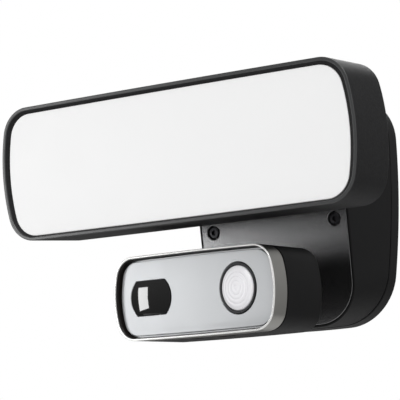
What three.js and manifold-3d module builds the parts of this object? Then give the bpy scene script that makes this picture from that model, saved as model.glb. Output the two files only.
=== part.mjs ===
// Floodlight security camera for a wall: a wedge housing on a wall plate carries
// a tilting LED lamp head above and a tilting camera module below.
// Millimetres, +Z up, +X to the right seen from the front. The origin is the
// centre of the wall plate's rear face, and the object faces -Y.
import * as THREE from 'three';
import { mergeVertices } from 'three/addons/utils/BufferGeometryUtils.js';
import Module from 'manifold-3d';

const wasm = await Module();
wasm.setup();

// ---------------------------------------------------------------- driving sizes
const GAP = 0.3;               // clearance between neighbouring pieces
const WALL = 2.8;              // wall of every moulded shell
const degrees = THREE.MathUtils.degToRad;

// Outlines are rounded rectangles whose sides and ends bow slightly outwards.
const PLATE = { halfWidth: 56.7, halfHeight: 74.9, sideBow: 5.4, endBow: 2, corner: 33.5 };
const PLATE_DEPTH = 9;
const SEAM = 1.6;              // visible groove between the plate and the housing
const FRONT = {
  halfWidth: PLATE.halfWidth - 2, halfHeight: PLATE.halfHeight + 4.6, sideBow: 1.1, endBow: 1, corner: 27,
};
const FRONT_TILT = degrees(12);
const FRONT_DEPTH = 61.8;      // wall to the middle of the sloping front
const FRONT_RISE = -3.15;

const COVER_TOP = -3;          // top edge of the lower cover on the front's slope
const COVER_THICK = 4.6;
const COVER_MARGIN = 1.2;      // housing rim left around the cover
const GASKET = 1;
const LEDGE = 3;
const SCREW = { shank: 1.7, head: 3.7, headHeight: 2.4, sink: 3.2 };
const SCREW_BORE = SCREW.head + 0.8;
const SCREW_EDGE = 8.9;        // screw centre to the cover's edge
const LOWER_SCREW_X = PLATE.halfWidth - 34.7;

const LAMP = { halfWidth: 125, halfHeight: 40.9, sideBow: 7, endBow: 0.35, corner: 18.6 };
const LAMP_DEPTH = 43.3;
const LAMP_TAPER = 3.8;        // the back is narrower by this much on each side
const LAMP_TILT = degrees(9.6);
const LAMP_LIP = 1.8;          // flat rim in front
const LAMP_INSET = 3.2;        // rim to the diffuser, above and below
const LAMP_ENDS = 4.6;         // rim to the diffuser at the two ends
const LAMP_DROP = 0.6;         // the diffuser sits this much lower than the rim's middle
const LAMP_RECESS = 1.3;
const DIFFUSER_THICK = 2.6;
const LAMP_BACK_THICK = 3;

const CAM = { halfWidth: 56.8, halfHeight: 25.2, sideBow: 5.3, endBow: 0.55, corner: 12.8 };
const CAM_DEPTH = 52.4;
const CAM_TILT = degrees(6.7);
const CAM_BAND = 13.6;         // depth of the silver band
const CAM_LIP = 1.8;
const CAM_RECESS = 4;          // lip to the face plate
const CAM_GROOVE = 1.2;        // groove around the face plate
const FACE_THICK = 2;
const LAMP_TO_CAM = 11.8;      // free height between lamp head and camera module

const LENS = { x: -32.3, radius: 14.6, flat: 10.3, thick: 2.4 };
const BARREL_RADIUS = 8;
// The sensor's dome and its ring are ovals, taller than wide.
const PIR = { x: 29.4, y: 0.75, dome: 11.15, band: 1.2, tall: 1.19 };
const PIR_OPENING = PIR.dome + PIR.band + GAP;
const BUTTON = { x: -13, depth: 22, width: 8.4, height: 3, travel: 1 };
const CARD = { x: 8.2, depth: 22, width: 12.6, height: 3 };

const NECK_RISE = -65;         // height of the camera's knuckle joints
const NECK = { eye: 8, bolt: 2.5, lug: 4, eyeHeight: 12, standoff: 14.4, reach: 18, behind: 10.7 };
const ARM = { eye: 10, bolt: 3, lug: 5, eyeHeight: 18, standoff: 18.1, reach: 29.2, behind: 14.5 };

// ------------------------------------------------------------------- finishes
const finish = (name, color, roughness, metalness) =>
  new THREE.MeshStandardMaterial({ name, color, roughness, metalness });
const FINISH = {
  shell: finish('black_shell', 0x26272a, 0.55, 0),
  plate: finish('black_plate', 0x2b2c2e, 0.6, 0),
  cover: finish('grey_cover', 0x4c4d4f, 0.5, 0.2),
  alloy: finish('cast_alloy', 0x1e1f21, 0.5, 0.4),
  bare: finish('bare_aluminium', 0xb4b7ba, 0.4, 0.9),
  opal: finish('opal_diffuser', 0xf6f6f4, 0.35, 0),
  satin: finish('satin_silver', 0x8f8e8a, 0.35, 0.9),
  face: finish('silver_face', 0xc9cccf, 0.4, 0.8),
  glass: finish('black_glass', 0x050506, 0.08, 0),
  dome: finish('white_dome', 0xf0eef0, 0.4, 0),
  ring: finish('dark_ring', 0x3c3d40, 0.4, 0.3),
  steel: finish('screw_steel', 0x3a3a3c, 0.35, 0.9),
  board: finish('circuit_board', 0x1f5a34, 0.5, 0),
  rubber: finish('seal_rubber', 0x151516, 0.9, 0),
  white: finish('white_plastic', 0xe8e8e4, 0.5, 0),
  part: finish('component_black', 0x1a1a1c, 0.6, 0),
};

// ------------------------------------------------------------- shape functions
function toSolid(geometry) {
  const bare = geometry.clone();
  bare.deleteAttribute('normal');
  bare.deleteAttribute('uv');
  const merged = mergeVertices(bare, 1e-4);
  const mesh = new wasm.Mesh({
    numProp: 3,
    vertProperties: Float32Array.from(merged.attributes.position.array),
    triVerts: Uint32Array.from(merged.index.array),
  });
  return new wasm.Manifold(mesh);
}

function toGeometry(solid) {
  const mesh = solid.getMesh();
  const geometry = new THREE.BufferGeometry();
  geometry.setAttribute('position', new THREE.BufferAttribute(mesh.vertProperties, 3));
  geometry.setIndex(new THREE.BufferAttribute(mesh.triVerts, 1));
  return geometry;
}

const join = (...shapes) => toGeometry(shapes.map(toSolid).reduce((a, b) => a.add(b)));
const cut = (base, ...tools) => toGeometry(tools.map(toSolid).reduce((a, b) => a.subtract(b), toSolid(base)));
const common = (a, b) => toGeometry(toSolid(a).intersect(toSolid(b)));

// Rounded rectangle with bowed sides, counter-clockwise from the right-hand middle.
function outline({ halfWidth, halfHeight, sideBow, endBow, corner }) {
  const sideRadius = (halfHeight ** 2 + sideBow ** 2) / (2 * sideBow);
  const endRadius = (halfWidth ** 2 + endBow ** 2) / (2 * endBow);
  const side = new THREE.Vector2(halfWidth - sideRadius, 0);
  const end = new THREE.Vector2(0, halfHeight - endRadius);
  const apart = end.clone().sub(side);
  const span = apart.length();
  const reach = sideRadius - corner;
  const along = (span ** 2 + reach ** 2 - (endRadius - corner) ** 2) / (2 * span);
  const across = Math.sqrt(Math.max(reach ** 2 - along ** 2, 0));
  const unit = apart.divideScalar(span);
  const centre = new THREE.Vector2(
    side.x + unit.x * along - unit.y * across,
    side.y + unit.y * along + unit.x * across,
  );
  const low = Math.atan2(centre.y - side.y, centre.x - side.x);
  const high = Math.atan2(centre.y - end.y, centre.x - end.x);
  const arc = (middle, radius, from, to, steps) => Array.from({ length: steps }, (_, step) => {
    const angle = from + (to - from) * (step + 1) / steps;
    return new THREE.Vector2(middle.x + radius * Math.cos(angle), middle.y + radius * Math.sin(angle));
  });
  const quarter = [
    new THREE.Vector2(halfWidth, 0),
    ...arc(side, sideRadius, 0, low, 2),
    ...arc(centre, corner, low, high, 5),
    ...arc(end, endRadius, high, Math.PI / 2, 1),
  ];
  const mirror = quarter.slice(0, -1).reverse().map((p) => new THREE.Vector2(-p.x, p.y));
  const upper = [...quarter, ...mirror];
  const lower = upper.slice(1, -1).map((p) => new THREE.Vector2(-p.x, -p.y));
  return [...upper, ...lower];
}

// The same outline moved inwards by an even distance.
function inset(shape, distance) {
  const shrink = (bow, half) => {
    const radius = (half ** 2 + bow ** 2) / (2 * bow) - distance;
    return radius - Math.sqrt(radius ** 2 - (half - distance) ** 2);
  };
  return {
    halfWidth: shape.halfWidth - distance,
    halfHeight: shape.halfHeight - distance,
    sideBow: shrink(shape.sideBow, shape.halfHeight),
    endBow: shrink(shape.endBow, shape.halfWidth),
    corner: Math.max(shape.corner - distance, 1),
  };
}

// Solid through closed rings of the same number of points, from the lowest z up.
function loft(rings) {
  const count = rings[0].length;
  const position = rings.flat().flatMap((p) => [p.x, p.y, p.z]);
  const cap = THREE.ShapeUtils.triangulateShape(rings[0].map((p) => new THREE.Vector2(p.x, p.y)), []);
  const top = (rings.length - 1) * count;
  const index = cap.flatMap(([a, b, c]) => [c, b, a, top + a, top + b, top + c]);
  for (let ring = 0; ring < rings.length - 1; ring += 1) {
    for (let i = 0; i < count; i += 1) {
      const a = ring * count + i;
      const b = ring * count + (i + 1) % count;
      index.push(a, b, b + count, a, b + count, a + count);
    }
  }
  const geometry = new THREE.BufferGeometry();
  geometry.setAttribute('position', new THREE.Float32BufferAttribute(position, 3));
  geometry.setIndex(index);
  return geometry;
}
const ring = (shape, z) => outline(shape).map((p) => new THREE.Vector3(p.x, p.y, z));

function extrude(points, low, high, curveSegments = 8) {
  const shape = points instanceof THREE.Shape ? points : new THREE.Shape(points);
  const depth = high - low;
  const geometry = new THREE.ExtrudeGeometry(shape, { depth, bevelEnabled: false, curveSegments });
  return geometry.translate(0, 0, low);
}
const prism = (shape, low, high) => extrude(outline(shape), low, high);

function box(width, height, depth, x = 0, y = 0, z = 0) {
  return new THREE.BoxGeometry(width, height, depth).translate(x, y, z);
}

// Cylinder along z, between two heights.
function rod(radius, low, high, x = 0, y = 0, sides = 12) {
  const geometry = new THREE.CylinderGeometry(radius, radius, high - low, sides);
  return geometry.rotateX(Math.PI / 2).translate(x, y, (low + high) / 2);
}

// Profile of [radius, height] pairs turned about z.
function turned(profile, x = 0, y = 0, sides = 24) {
  const points = profile.map(([radius, height]) => new THREE.Vector2(radius, height));
  return new THREE.LatheGeometry(points, sides).rotateX(Math.PI / 2).translate(x, y, 0);
}

// Slot with round ends, its length along x.
function slot(length, width, low, high, x, y) {
  const radius = width / 2;
  const reach = length / 2 - radius;
  const shape = new THREE.Shape();
  shape.absarc(reach, 0, radius, -Math.PI / 2, Math.PI / 2);
  shape.absarc(-reach, 0, radius, Math.PI / 2, Math.PI * 1.5);
  return extrude(shape, low, high, 5).translate(x, y, 0);
}

// Screw along z: the head's top at z = 0 and the shank below it.
function screw({ head, headHeight, shank }, length) {
  const body = turned([
    [0, -length], [shank, -length], [shank, -headHeight], [head, -headHeight], [head, 0], [0, 0],
  ], 0, 0, 8);
  const socket = rod(head * 0.45, -headHeight * 0.6, 1, 0, 0, 6);
  return cut(body, socket);
}

const model = new THREE.Group();
function place(parent, name, geometry, material, x = 0, y = 0, z = 0) {
  const mesh = new THREE.Mesh(geometry, material);
  mesh.name = name;
  mesh.position.set(x, y, z);
  parent.add(mesh);
  return mesh;
}

// A group whose +z looks out of the front, tilted down by an angle, and whose +y is up.
function facing(tilt, y, z) {
  const group = new THREE.Group();
  group.rotation.x = Math.PI / 2 + tilt;
  group.position.set(0, y, z);
  model.add(group);
  return group;
}

// ------------------------------------------------------------------- wall unit
const wall = facing(0, 0, 0);
const slope = facing(FRONT_TILT, -FRONT_DEPTH, FRONT_RISE);

const PLATE_FLOOR = 3;
const WALL_SLOT = { length: 12, width: 4, x: 30 };
const ENTRY = { radius: 11, y: -26 };
const GROMMET_BORE = 5;
const PCB = 1.6;
const DRIVER = {
  width: 2 * (PLATE.halfWidth - 23.7), height: 58, y: PLATE.halfHeight - 41, z: 23, post: 2.5, edge: 5,
};
const SHELL_BACK = PLATE_DEPTH + SEAM;
const POST = { edge: 12.2, y: -34, radius: 5, length: 4 };
const PILOT = SCREW.shank + GAP;
const corners = [[1, 1], [-1, 1], [-1, -1], [1, -1]];
const postPlaces = [-1, 1].map((side) => [side * (PLATE.halfWidth - POST.edge), POST.y]);

function wallPlate() {
  const tray = cut(
    prism(PLATE, 0, PLATE_DEPTH),
    prism(inset(PLATE, WALL), PLATE_FLOOR, PLATE_DEPTH + 1),
  );
  const posts = postPlaces.map(([x, y]) => rod(POST.radius, 1, PLATE_DEPTH, x, y));
  const boardPosts = corners.map(([sx, sy]) => {
    const x = sx * (DRIVER.width / 2 - DRIVER.edge);
    const y = DRIVER.y + sy * (DRIVER.height / 2 - DRIVER.edge);
    return rod(DRIVER.post, 1, DRIVER.z - PCB / 2 - GAP, x, y, 8);
  });
  const pilots = postPlaces.map(([x, y]) => rod(PILOT, PLATE_FLOOR, PLATE_DEPTH + 1, x, y, 8));
  const entry = rod(ENTRY.radius, -1, PLATE_FLOOR + 1, 0, ENTRY.y, 16);
  const slots = [-1, 1].map((side) => (
    slot(WALL_SLOT.length, WALL_SLOT.width, -1, PLATE_FLOOR + 1, side * WALL_SLOT.x, 0)
  ));
  return cut(join(tray, ...posts, ...boardPosts), entry, ...slots, ...pilots);
}
place(wall, 'wall_plate', wallPlate(), FINISH.plate);

const sealShape = inset(PLATE, 0.9);
place(wall, 'plate_seal', cut(
  prism(sealShape, PLATE_DEPTH + GAP, SHELL_BACK - GAP),
  prism(inset(sealShape, 1.5), PLATE_DEPTH, SHELL_BACK),
), FINISH.rubber);

const bushing = ENTRY.radius - GAP;
place(wall, 'cable_grommet', turned([
  [GROMMET_BORE, 0.4], [bushing, 0.4], [bushing, PLATE_FLOOR + GAP], [bushing + 2, PLATE_FLOOR + GAP],
  [bushing + 2, PLATE_FLOOR + 2.3], [GROMMET_BORE, PLATE_FLOOR + 2.3], [GROMMET_BORE, 0.4],
], 0, ENTRY.y, 16), FINISH.rubber);

// Points of the sloping front, given in the wall's own directions.
const onSlope = (p) => new THREE.Vector3(
  p.x,
  FRONT_RISE + p.y * Math.cos(FRONT_TILT) - p.z * Math.sin(FRONT_TILT),
  FRONT_DEPTH + p.y * Math.sin(FRONT_TILT) + p.z * Math.cos(FRONT_TILT),
);
function wedge(thickness, back) {
  const shape = thickness ? inset(FRONT, thickness) : FRONT;
  const root = thickness ? inset(PLATE, thickness) : PLATE;
  return loft([ring(root, back), ring(shape, -thickness).map(onSlope)]);
}
const toWall = (geometry) => geometry.clone().rotateX(FRONT_TILT).translate(0, FRONT_RISE, FRONT_DEPTH);

const coverShape = inset(FRONT, COVER_MARGIN + GAP);
const LEDGE_TOP = -COVER_THICK - GASKET - 2 * GAP;
const LEDGE_WIDTH = 8;
// The lower part of an outline on the slope, up to a straight top edge.
function lowerPart(shape, top, low, high) {
  return common(prism(shape, low, high), box(400, 400, 60, 0, top - 200, (low + high) / 2));
}
const screwPlaces = [
  [coverShape.halfWidth - SCREW_EDGE, COVER_TOP - SCREW_EDGE - 2.4],
  [-coverShape.halfWidth + SCREW_EDGE, COVER_TOP - SCREW_EDGE - 2.4],
  [LOWER_SCREW_X, -coverShape.halfHeight + SCREW_EDGE + 3],
  [-LOWER_SCREW_X, -coverShape.halfHeight + SCREW_EDGE + 3],
];

// Heights of the two heads, stacked upwards from the camera's knuckle.
const camReach = NECK.behind + CAM_DEPTH;
const CAM_RISE = NECK_RISE - camReach * Math.sin(CAM_TILT);
const LAMP_RISE = CAM_RISE + CAM.halfHeight + LAMP_TO_CAM + LAMP.halfHeight;
const lampReach = ARM.behind + LAMP_DEPTH;
const ARM_RISE = LAMP_RISE + lampReach * Math.sin(LAMP_TILT);
const frontAt = (height) => -FRONT_DEPTH - (height - FRONT_RISE) * Math.tan(FRONT_TILT);
const ARM_PAN = frontAt(ARM_RISE) - ARM.standoff;
const ARM_PIVOT = ARM_PAN - ARM.reach;
const LAMP_FRONT = ARM_PIVOT - lampReach * Math.cos(LAMP_TILT);
const NECK_PAN = frontAt(NECK_RISE) - NECK.standoff;
const NECK_PIVOT = NECK_PAN - NECK.reach;
const CAM_FRONT = NECK_PIVOT - camReach * Math.cos(CAM_TILT);

function wallHousing() {
  const outer = wedge(0, SHELL_BACK);
  const hollow = wedge(WALL, SHELL_BACK - 1);
  const ledgeLow = LEDGE_TOP - LEDGE;
  const shelf = lowerPart(inset(FRONT, 0.5), COVER_TOP + 3, ledgeLow, 0);
  const bosses = screwPlaces.map(([x, y]) => rod(5, ledgeLow - 6, LEDGE_TOP, x, y));
  const recess = lowerPart(inset(FRONT, COVER_MARGIN), COVER_TOP + GAP, LEDGE_TOP, 1);
  const opening = lowerPart(inset(coverShape, LEDGE_WIDTH), COVER_TOP - LEDGE_WIDTH, ledgeLow - 1, 0);
  const pilots = screwPlaces.map(([x, y]) => rod(PILOT, ledgeLow - 7, 1, x, y, 8));
  const sloped = toWall(cut(join(cut(shelf, recess, opening), ...bosses), ...pilots));
  const feet = postPlaces.map(([x, y]) => {
    const out = Math.sign(x) * 6;
    return common(outer.clone(), box(22, 12, POST.length, x + out, y, SHELL_BACK + POST.length / 2));
  });
  const footHoles = postPlaces.map(([x, y]) => rod(PILOT, 0, 30, x, y, 8));
  const shell = cut(outer, hollow, toWall(recess));
  return cut(join(shell, sloped, ...feet), ...footHoles);
}
place(wall, 'wall_housing', wallHousing(), FINISH.shell);

postPlaces.forEach(([x, y], i) => {
  const low = { ...SCREW, headHeight: 2.2 };
  const top = SHELL_BACK + POST.length + GAP + low.headHeight;
  place(wall, `housing_screw_${i + 1}`, screw(low, 11), FINISH.steel, x, y, top);
});

function lowerCover() {
  const panel = lowerPart(coverShape, COVER_TOP, -COVER_THICK, 0);
  const holes = screwPlaces.flatMap(([x, y]) => [
    rod(SCREW_BORE, -SCREW.sink, 1, x, y, 16),
    rod(PILOT, -COVER_THICK - 1, 1, x, y, 8),
  ]);
  return cut(panel, ...holes);
}
place(slope, 'lower_cover', lowerCover(), FINISH.cover);
place(slope, 'cover_seal', cut(
  lowerPart(inset(coverShape, 0.4), COVER_TOP - 0.4, LEDGE_TOP + GAP, LEDGE_TOP + GAP + GASKET),
  lowerPart(inset(coverShape, 2.6), COVER_TOP - 2.6, LEDGE_TOP, 0),
), FINISH.rubber);
const screwTop = -SCREW.sink + GAP + SCREW.headHeight;
screwPlaces.forEach(([x, y], i) => {
  place(slope, `cover_screw_${i + 1}`, screw(SCREW, 14), FINISH.steel, x, y, screwTop);
});

// Mains side inside the housing: driver board, its parts and the terminal block.
const TRANSFORMER = { width: 22, height: 18, depth: 16, x: -14, y: DRIVER.y + 2 };
const CAPACITOR = { radius: 5, length: 18, x: 16 };
const TERMINAL = { width: 34, height: 18, depth: 16, y: -50, pitch: 10, bore: 2 };
place(wall, 'driver_board', box(DRIVER.width, DRIVER.height, PCB, 0, DRIVER.y, DRIVER.z), FINISH.board);
const boardTop = DRIVER.z + PCB / 2 + GAP;
place(wall, 'driver_transformer', box(
  TRANSFORMER.width, TRANSFORMER.height, TRANSFORMER.depth,
  TRANSFORMER.x, TRANSFORMER.y, boardTop + TRANSFORMER.depth / 2,
), FINISH.part);
place(wall, 'driver_capacitor', rod(
  CAPACITOR.radius, boardTop, boardTop + CAPACITOR.length, CAPACITOR.x, DRIVER.y,
), FINISH.part);
const terminalBack = PLATE_FLOOR + GAP;
const terminalBores = [-1, 0, 1].map((i) => (
  rod(TERMINAL.bore, terminalBack + 6, terminalBack + 27, i * TERMINAL.pitch, TERMINAL.y, 10)
));
place(wall, 'terminal_block', cut(box(
  TERMINAL.width, TERMINAL.height, TERMINAL.depth, 0, TERMINAL.y, terminalBack + TERMINAL.depth / 2,
), ...terminalBores), FINISH.white);

// ------------------------------------------------------------- knuckle joints
// Two eyes with level axes of their own: the first turns left and right on an
// upright bolt, and the second nods on a bolt across.
const capsule = (radius, reach) => {
  const shape = new THREE.Shape();
  shape.absarc(0, 0, radius, 0, Math.PI);
  shape.lineTo(-radius, -reach);
  shape.lineTo(radius, -reach);
  return shape;
};
// Fork fixed to a sloping face behind the upright bolt.
function fork({ eye, bolt, lug, eyeHeight, standoff }, height) {
  const half = eyeHeight / 2 + GAP;
  const depth = standoff + 6;
  const lugs = [half, -half - lug].map((low) => (
    extrude(capsule(eye, depth), low, low + lug).rotateZ(Math.PI)
  ));
  const foot = box(2 * eye + 8, depth, 2 * (half + lug) + 4, 0, eye + 1.5 + depth / 2, 0);
  const slopeFace = box(200, 100, 200, 0, 50 - GAP, 0).applyMatrix4(
    new THREE.Matrix4().makeRotationX(FRONT_TILT),
  ).translate(0, standoff, 0);
  return cut(join(...lugs, foot), slopeFace, rod(bolt + GAP, -height, height));
}
// Arm with an upright eye at the origin and a crossways eye in front of it.
function arm({ eye, bolt, eyeHeight, reach }, width) {
  const upright = rod(eye, -eyeHeight / 2, eyeHeight / 2, 0, 0, 20);
  const across = rod(eye * 0.9, -width / 2, width / 2, 0, 0, 20).rotateY(Math.PI / 2).translate(0, -reach, 0);
  const bar = box(width, reach, eyeHeight * 0.8, 0, -reach / 2, 0);
  return cut(
    join(upright, across, bar),
    rod(bolt + GAP, -40, 40),
    rod(bolt + GAP, -40, 40).rotateY(Math.PI / 2).translate(0, -reach, 0),
  );
}
function bolt({ bolt: radius }, length) {
  const head = radius * 1.8;
  const shank = turned([
    [0, -length], [radius, -length], [radius, 0], [head, 0], [head, radius * 1.2], [0, radius * 1.2],
  ], 0, 0, 12);
  return cut(shank, rod(radius * 0.8, radius * 0.3, radius * 3, 0, 0, 6));
}
function nut({ bolt: radius }) {
  return cut(rod(radius * 1.9, 0, radius * 1.3, 0, 0, 6), rod(radius + GAP, -1, radius * 3, 0, 0));
}
const ARM_WIDTH = 16;
const NECK_WIDTH = 12;
const joints = [
  ['lamp', ARM, ARM_WIDTH, ARM_PAN, ARM_PIVOT, ARM_RISE],
  ['camera', NECK, NECK_WIDTH, NECK_PAN, NECK_PIVOT, NECK_RISE],
];
for (const [name, size, width, pan, pivot, height] of joints) {
  const stack = size.eyeHeight + 2 * (size.lug + GAP);
  place(model, `${name}_fork`, fork(size, stack), FINISH.alloy, 0, pan, height);
  place(model, `${name}_arm`, arm(size, width), FINISH.alloy, 0, pan, height);
  place(model, `${name}_pan_bolt`, bolt(size, stack + size.bolt * 1.5), FINISH.steel,
    0, pan, height + stack / 2 + GAP);
  const span = width + 2 * (size.lug + GAP);
  place(model, `${name}_tilt_bolt`, bolt(size, span + size.bolt * 1.5).rotateY(Math.PI / 2), FINISH.steel,
    span / 2 + GAP, pivot, height);
  place(model, `${name}_tilt_nut`, nut(size).rotateY(Math.PI / 2), FINISH.steel,
    -span / 2 - GAP - size.bolt * 1.3, pivot, height);
}
// Pair of lugs that reach back from a head's rear face to its crossways bolt.
function hingeLugs({ eye, bolt: radius, lug, behind }, width, face) {
  const plates = [width / 2 + GAP, -width / 2 - GAP - lug].map((low) => {
    const side = extrude(capsule(eye * 0.9, behind + 1), low, low + lug);
    return side.rotateY(Math.PI / 2).rotateX(-Math.PI / 2);
  });
  return cut(join(...plates), rod(radius + GAP, -60, 60).rotateY(Math.PI / 2)).translate(0, 0, face - behind);
}

// ------------------------------------------------------------------- lamp head
const lamp = facing(LAMP_TILT, LAMP_FRONT, LAMP_RISE);
const LAMP_REAR = { ...LAMP, halfWidth: LAMP.halfWidth - LAMP_TAPER, corner: 17.5 };
const lampAt = (depth, distance) => inset(
  { ...LAMP, halfWidth: LAMP.halfWidth - LAMP_TAPER * depth / LAMP_DEPTH }, distance,
);
const SEAT = LAMP_RECESS + DIFFUSER_THICK + GASKET + 2 * GAP;
const SEAT_WIDTH = 3;
const LAMP_COVER_INSET = 3.2;
const TRAY_FRONT = SEAT + 0.8;
const TRAY_BACK = LAMP_DEPTH - 17;
const LED_PLATE = 1.6;
const SPREADER = 4;
const SPREADER_BACK = -TRAY_BACK - 2 * GAP - LED_PLATE - SPREADER;

// Outline of the diffuser's opening, moved inwards by an even distance.
const lampOpening = (distance) => inset(
  { ...inset(LAMP, LAMP_INSET), halfWidth: LAMP.halfWidth - LAMP_ENDS }, distance,
);
const lowered = (shape, z) => ring(shape, z).map((p) => new THREE.Vector3(p.x, p.y - LAMP_DROP, z));
const loweredPrism = (shape, low, high) => prism(shape, low, high).translate(0, -LAMP_DROP, 0);

function lampShell() {
  const outer = loft([ring(LAMP_REAR, -LAMP_DEPTH), ring(LAMP, 0)]);
  const bevel = loft([lowered(lampOpening(0), -LAMP_RECESS), ring(inset(LAMP, LAMP_LIP), 0.01)]);
  const seat = loweredPrism(lampOpening(0), -SEAT, -LAMP_RECESS + 0.01);
  const throat = loweredPrism(lampOpening(SEAT_WIDTH), -SEAT - 4, -SEAT + 0.01);
  const floor = LAMP_DEPTH - LAMP_BACK_THICK - 2;
  const cavity = loft([ring(lampAt(floor, WALL), -floor), ring(lampAt(SEAT + 3, WALL), -SEAT - 3)]);
  const window = prism(inset(LAMP_REAR, LAMP_COVER_INSET + 7), -LAMP_DEPTH - 1, -floor + 1);
  const recess = prism(inset(LAMP_REAR, LAMP_COVER_INSET), -LAMP_DEPTH - 1, -LAMP_DEPTH + LAMP_BACK_THICK);
  const holes = lampScrews.map(([x, y]) => rod(PILOT, -LAMP_DEPTH, -floor + 8, x, y, 8));
  return cut(outer, bevel, seat, throat, cavity, window, recess, ...holes);
}
const lampScrewShape = inset(LAMP_REAR, LAMP_COVER_INSET + 5);
const lampScrews = [-1, 1].flatMap((column) => [-1, 1].map((row) => [
  column * (lampScrewShape.halfWidth - 22), row * (lampScrewShape.halfHeight + 1.4),
]));
place(lamp, 'lamp_shell', lampShell(), FINISH.shell);

function lampBackCover() {
  const rear = -LAMP_DEPTH;
  const panel = prism(inset(LAMP_REAR, LAMP_COVER_INSET + GAP), rear, rear + LAMP_BACK_THICK - GAP);
  const ribs = [-4, -3, -2, 2, 3, 4].map((i) => box(2, LAMP.halfHeight * 1.3, 4, i * 22, 0, rear - 1.2));
  const lugs = hingeLugs(ARM, ARM_WIDTH, rear);
  const holes = lampScrews.map(([x, y]) => rod(PILOT, rear - 1, rear + 5, x, y, 8));
  const stands = [-1, 1].map((side) => (
    rod(4, rear + 1, SPREADER_BACK - GAP, side * LAMP.halfWidth * 0.55, 0)
  ));
  return cut(join(panel, ...ribs, lugs, ...stands), ...holes);
}
place(lamp, 'lamp_back_cover', lampBackCover(), FINISH.alloy);
lampScrews.forEach(([x, y], i) => {
  const mesh = place(lamp, `lamp_screw_${i + 1}`, screw({ ...SCREW, head: 3 }, 7), FINISH.steel);
  mesh.rotation.y = Math.PI;
  mesh.position.set(x, y, -LAMP_DEPTH - GAP - SCREW.headHeight);
});

const glass = lampOpening(GAP);
place(lamp, 'lamp_diffuser', loft([
  ring(glass, -LAMP_RECESS - DIFFUSER_THICK),
  ring(glass, -LAMP_RECESS - 0.6),
  ring(inset(glass, 1.4), -LAMP_RECESS),
]), FINISH.opal, 0, -LAMP_DROP);
place(lamp, 'diffuser_seal', cut(
  prism(glass, -SEAT + GAP, -SEAT + GAP + GASKET),
  prism(inset(glass, 2), -SEAT - 1, -LAMP_RECESS),
), FINISH.rubber, 0, -LAMP_DROP);

const BOARD_INSET = 22;
const TRAY_WALL = 1.2;
function reflectorTray() {
  const wide = lampOpening(SEAT_WIDTH + GAP);
  const tight = inset(LAMP, BOARD_INSET);
  const outer = loft([ring(tight, -TRAY_BACK), lowered(wide, -TRAY_FRONT)]);
  const hole = loft([
    ring(inset(tight, TRAY_WALL), -TRAY_BACK - 1), lowered(inset(wide, TRAY_WALL), -TRAY_FRONT + 1),
  ]);
  return cut(outer, hole);
}
place(lamp, 'reflector_tray', reflectorTray(), FINISH.white);

const boardShape = inset(LAMP, BOARD_INSET - 4);
const LED = { across: 8, rows: 2, size: 3.4, height: 0.9, endMargin: 15, sideMargin: 8 };
function ledBoard() {
  const face = -TRAY_BACK - GAP;
  const chips = [];
  const stepX = 2 * (boardShape.halfWidth - LED.endMargin) / (LED.across - 1);
  const stepY = 2 * (boardShape.halfHeight - LED.sideMargin) / (LED.rows - 1);
  for (let column = 0; column < LED.across; column += 1) {
    for (let row = 0; row < LED.rows; row += 1) {
      const x = (column - (LED.across - 1) / 2) * stepX;
      const y = (row - (LED.rows - 1) / 2) * stepY;
      chips.push(box(LED.size, LED.size, LED.height + 0.4, x, y, face + LED.height / 2 - 0.2));
    }
  }
  return join(prism(boardShape, face - LED_PLATE, face), ...chips);
}
place(lamp, 'led_board', ledBoard(), FINISH.white);
place(lamp, 'heat_spreader', prism(boardShape, SPREADER_BACK, SPREADER_BACK + SPREADER), FINISH.bare);

// --------------------------------------------------------------- camera module
const camera = facing(CAM_TILT, CAM_FRONT, CAM_RISE);
const FACE_BACK = CAM_RECESS + FACE_THICK;
const FLANGE = 2.4;
const camPosts = corners.map(([sx, sy]) => [sx * (CAM.halfWidth - 12.3), sy * (CAM.halfHeight - 8.6)]);
const POST_END = CAM_DEPTH - 5;
const BARREL_BACK = 24;        // where the lens barrel meets its board
const SENSOR_POST = LENS.flat + 2.5;
const PIR_POST = PIR_OPENING + 1.9;
const PIR_BOARD = 16.4;        // front of the motion sensor's board
const BOARD_DEPTH = 34;

function cameraBezel() {
  const floor = FACE_BACK + FLANGE + GAP;
  const frame = cut(
    prism(CAM, -CAM_BAND, 0),
    prism(inset(CAM, CAM_LIP), -floor, 1),
    prism(inset(CAM, CAM_LIP + 3.2), -CAM_BAND - 1, 0),
  );
  const pads = camPosts.map(([x, y]) => {
    const web = box(Math.abs(x) * 0.3, 14, CAM_BAND - floor)
      .translate(x + Math.sign(x) * 4, y + Math.sign(y) * 4, -(CAM_BAND + floor) / 2);
    return common(web, prism(inset(CAM, 1), -CAM_BAND, 0));
  });
  const posts = camPosts.map(([x, y]) => rod(3, -POST_END, -floor, x, y, 10));
  const pilots = camPosts.map(([x, y]) => rod(1.5, -POST_END - 1, -POST_END + 12, x, y, 8));
  return cut(join(frame, ...pads, ...posts), ...pilots);
}
place(camera, 'camera_bezel', cameraBezel(), FINISH.satin);

// Turned profile stretched into the sensor's oval, at its place on the face.
const oval = (profile, sides = 28) => (
  turned(profile, 0, 0, sides).scale(1, PIR.tall, 1).translate(PIR.x, PIR.y, 0)
);
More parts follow.
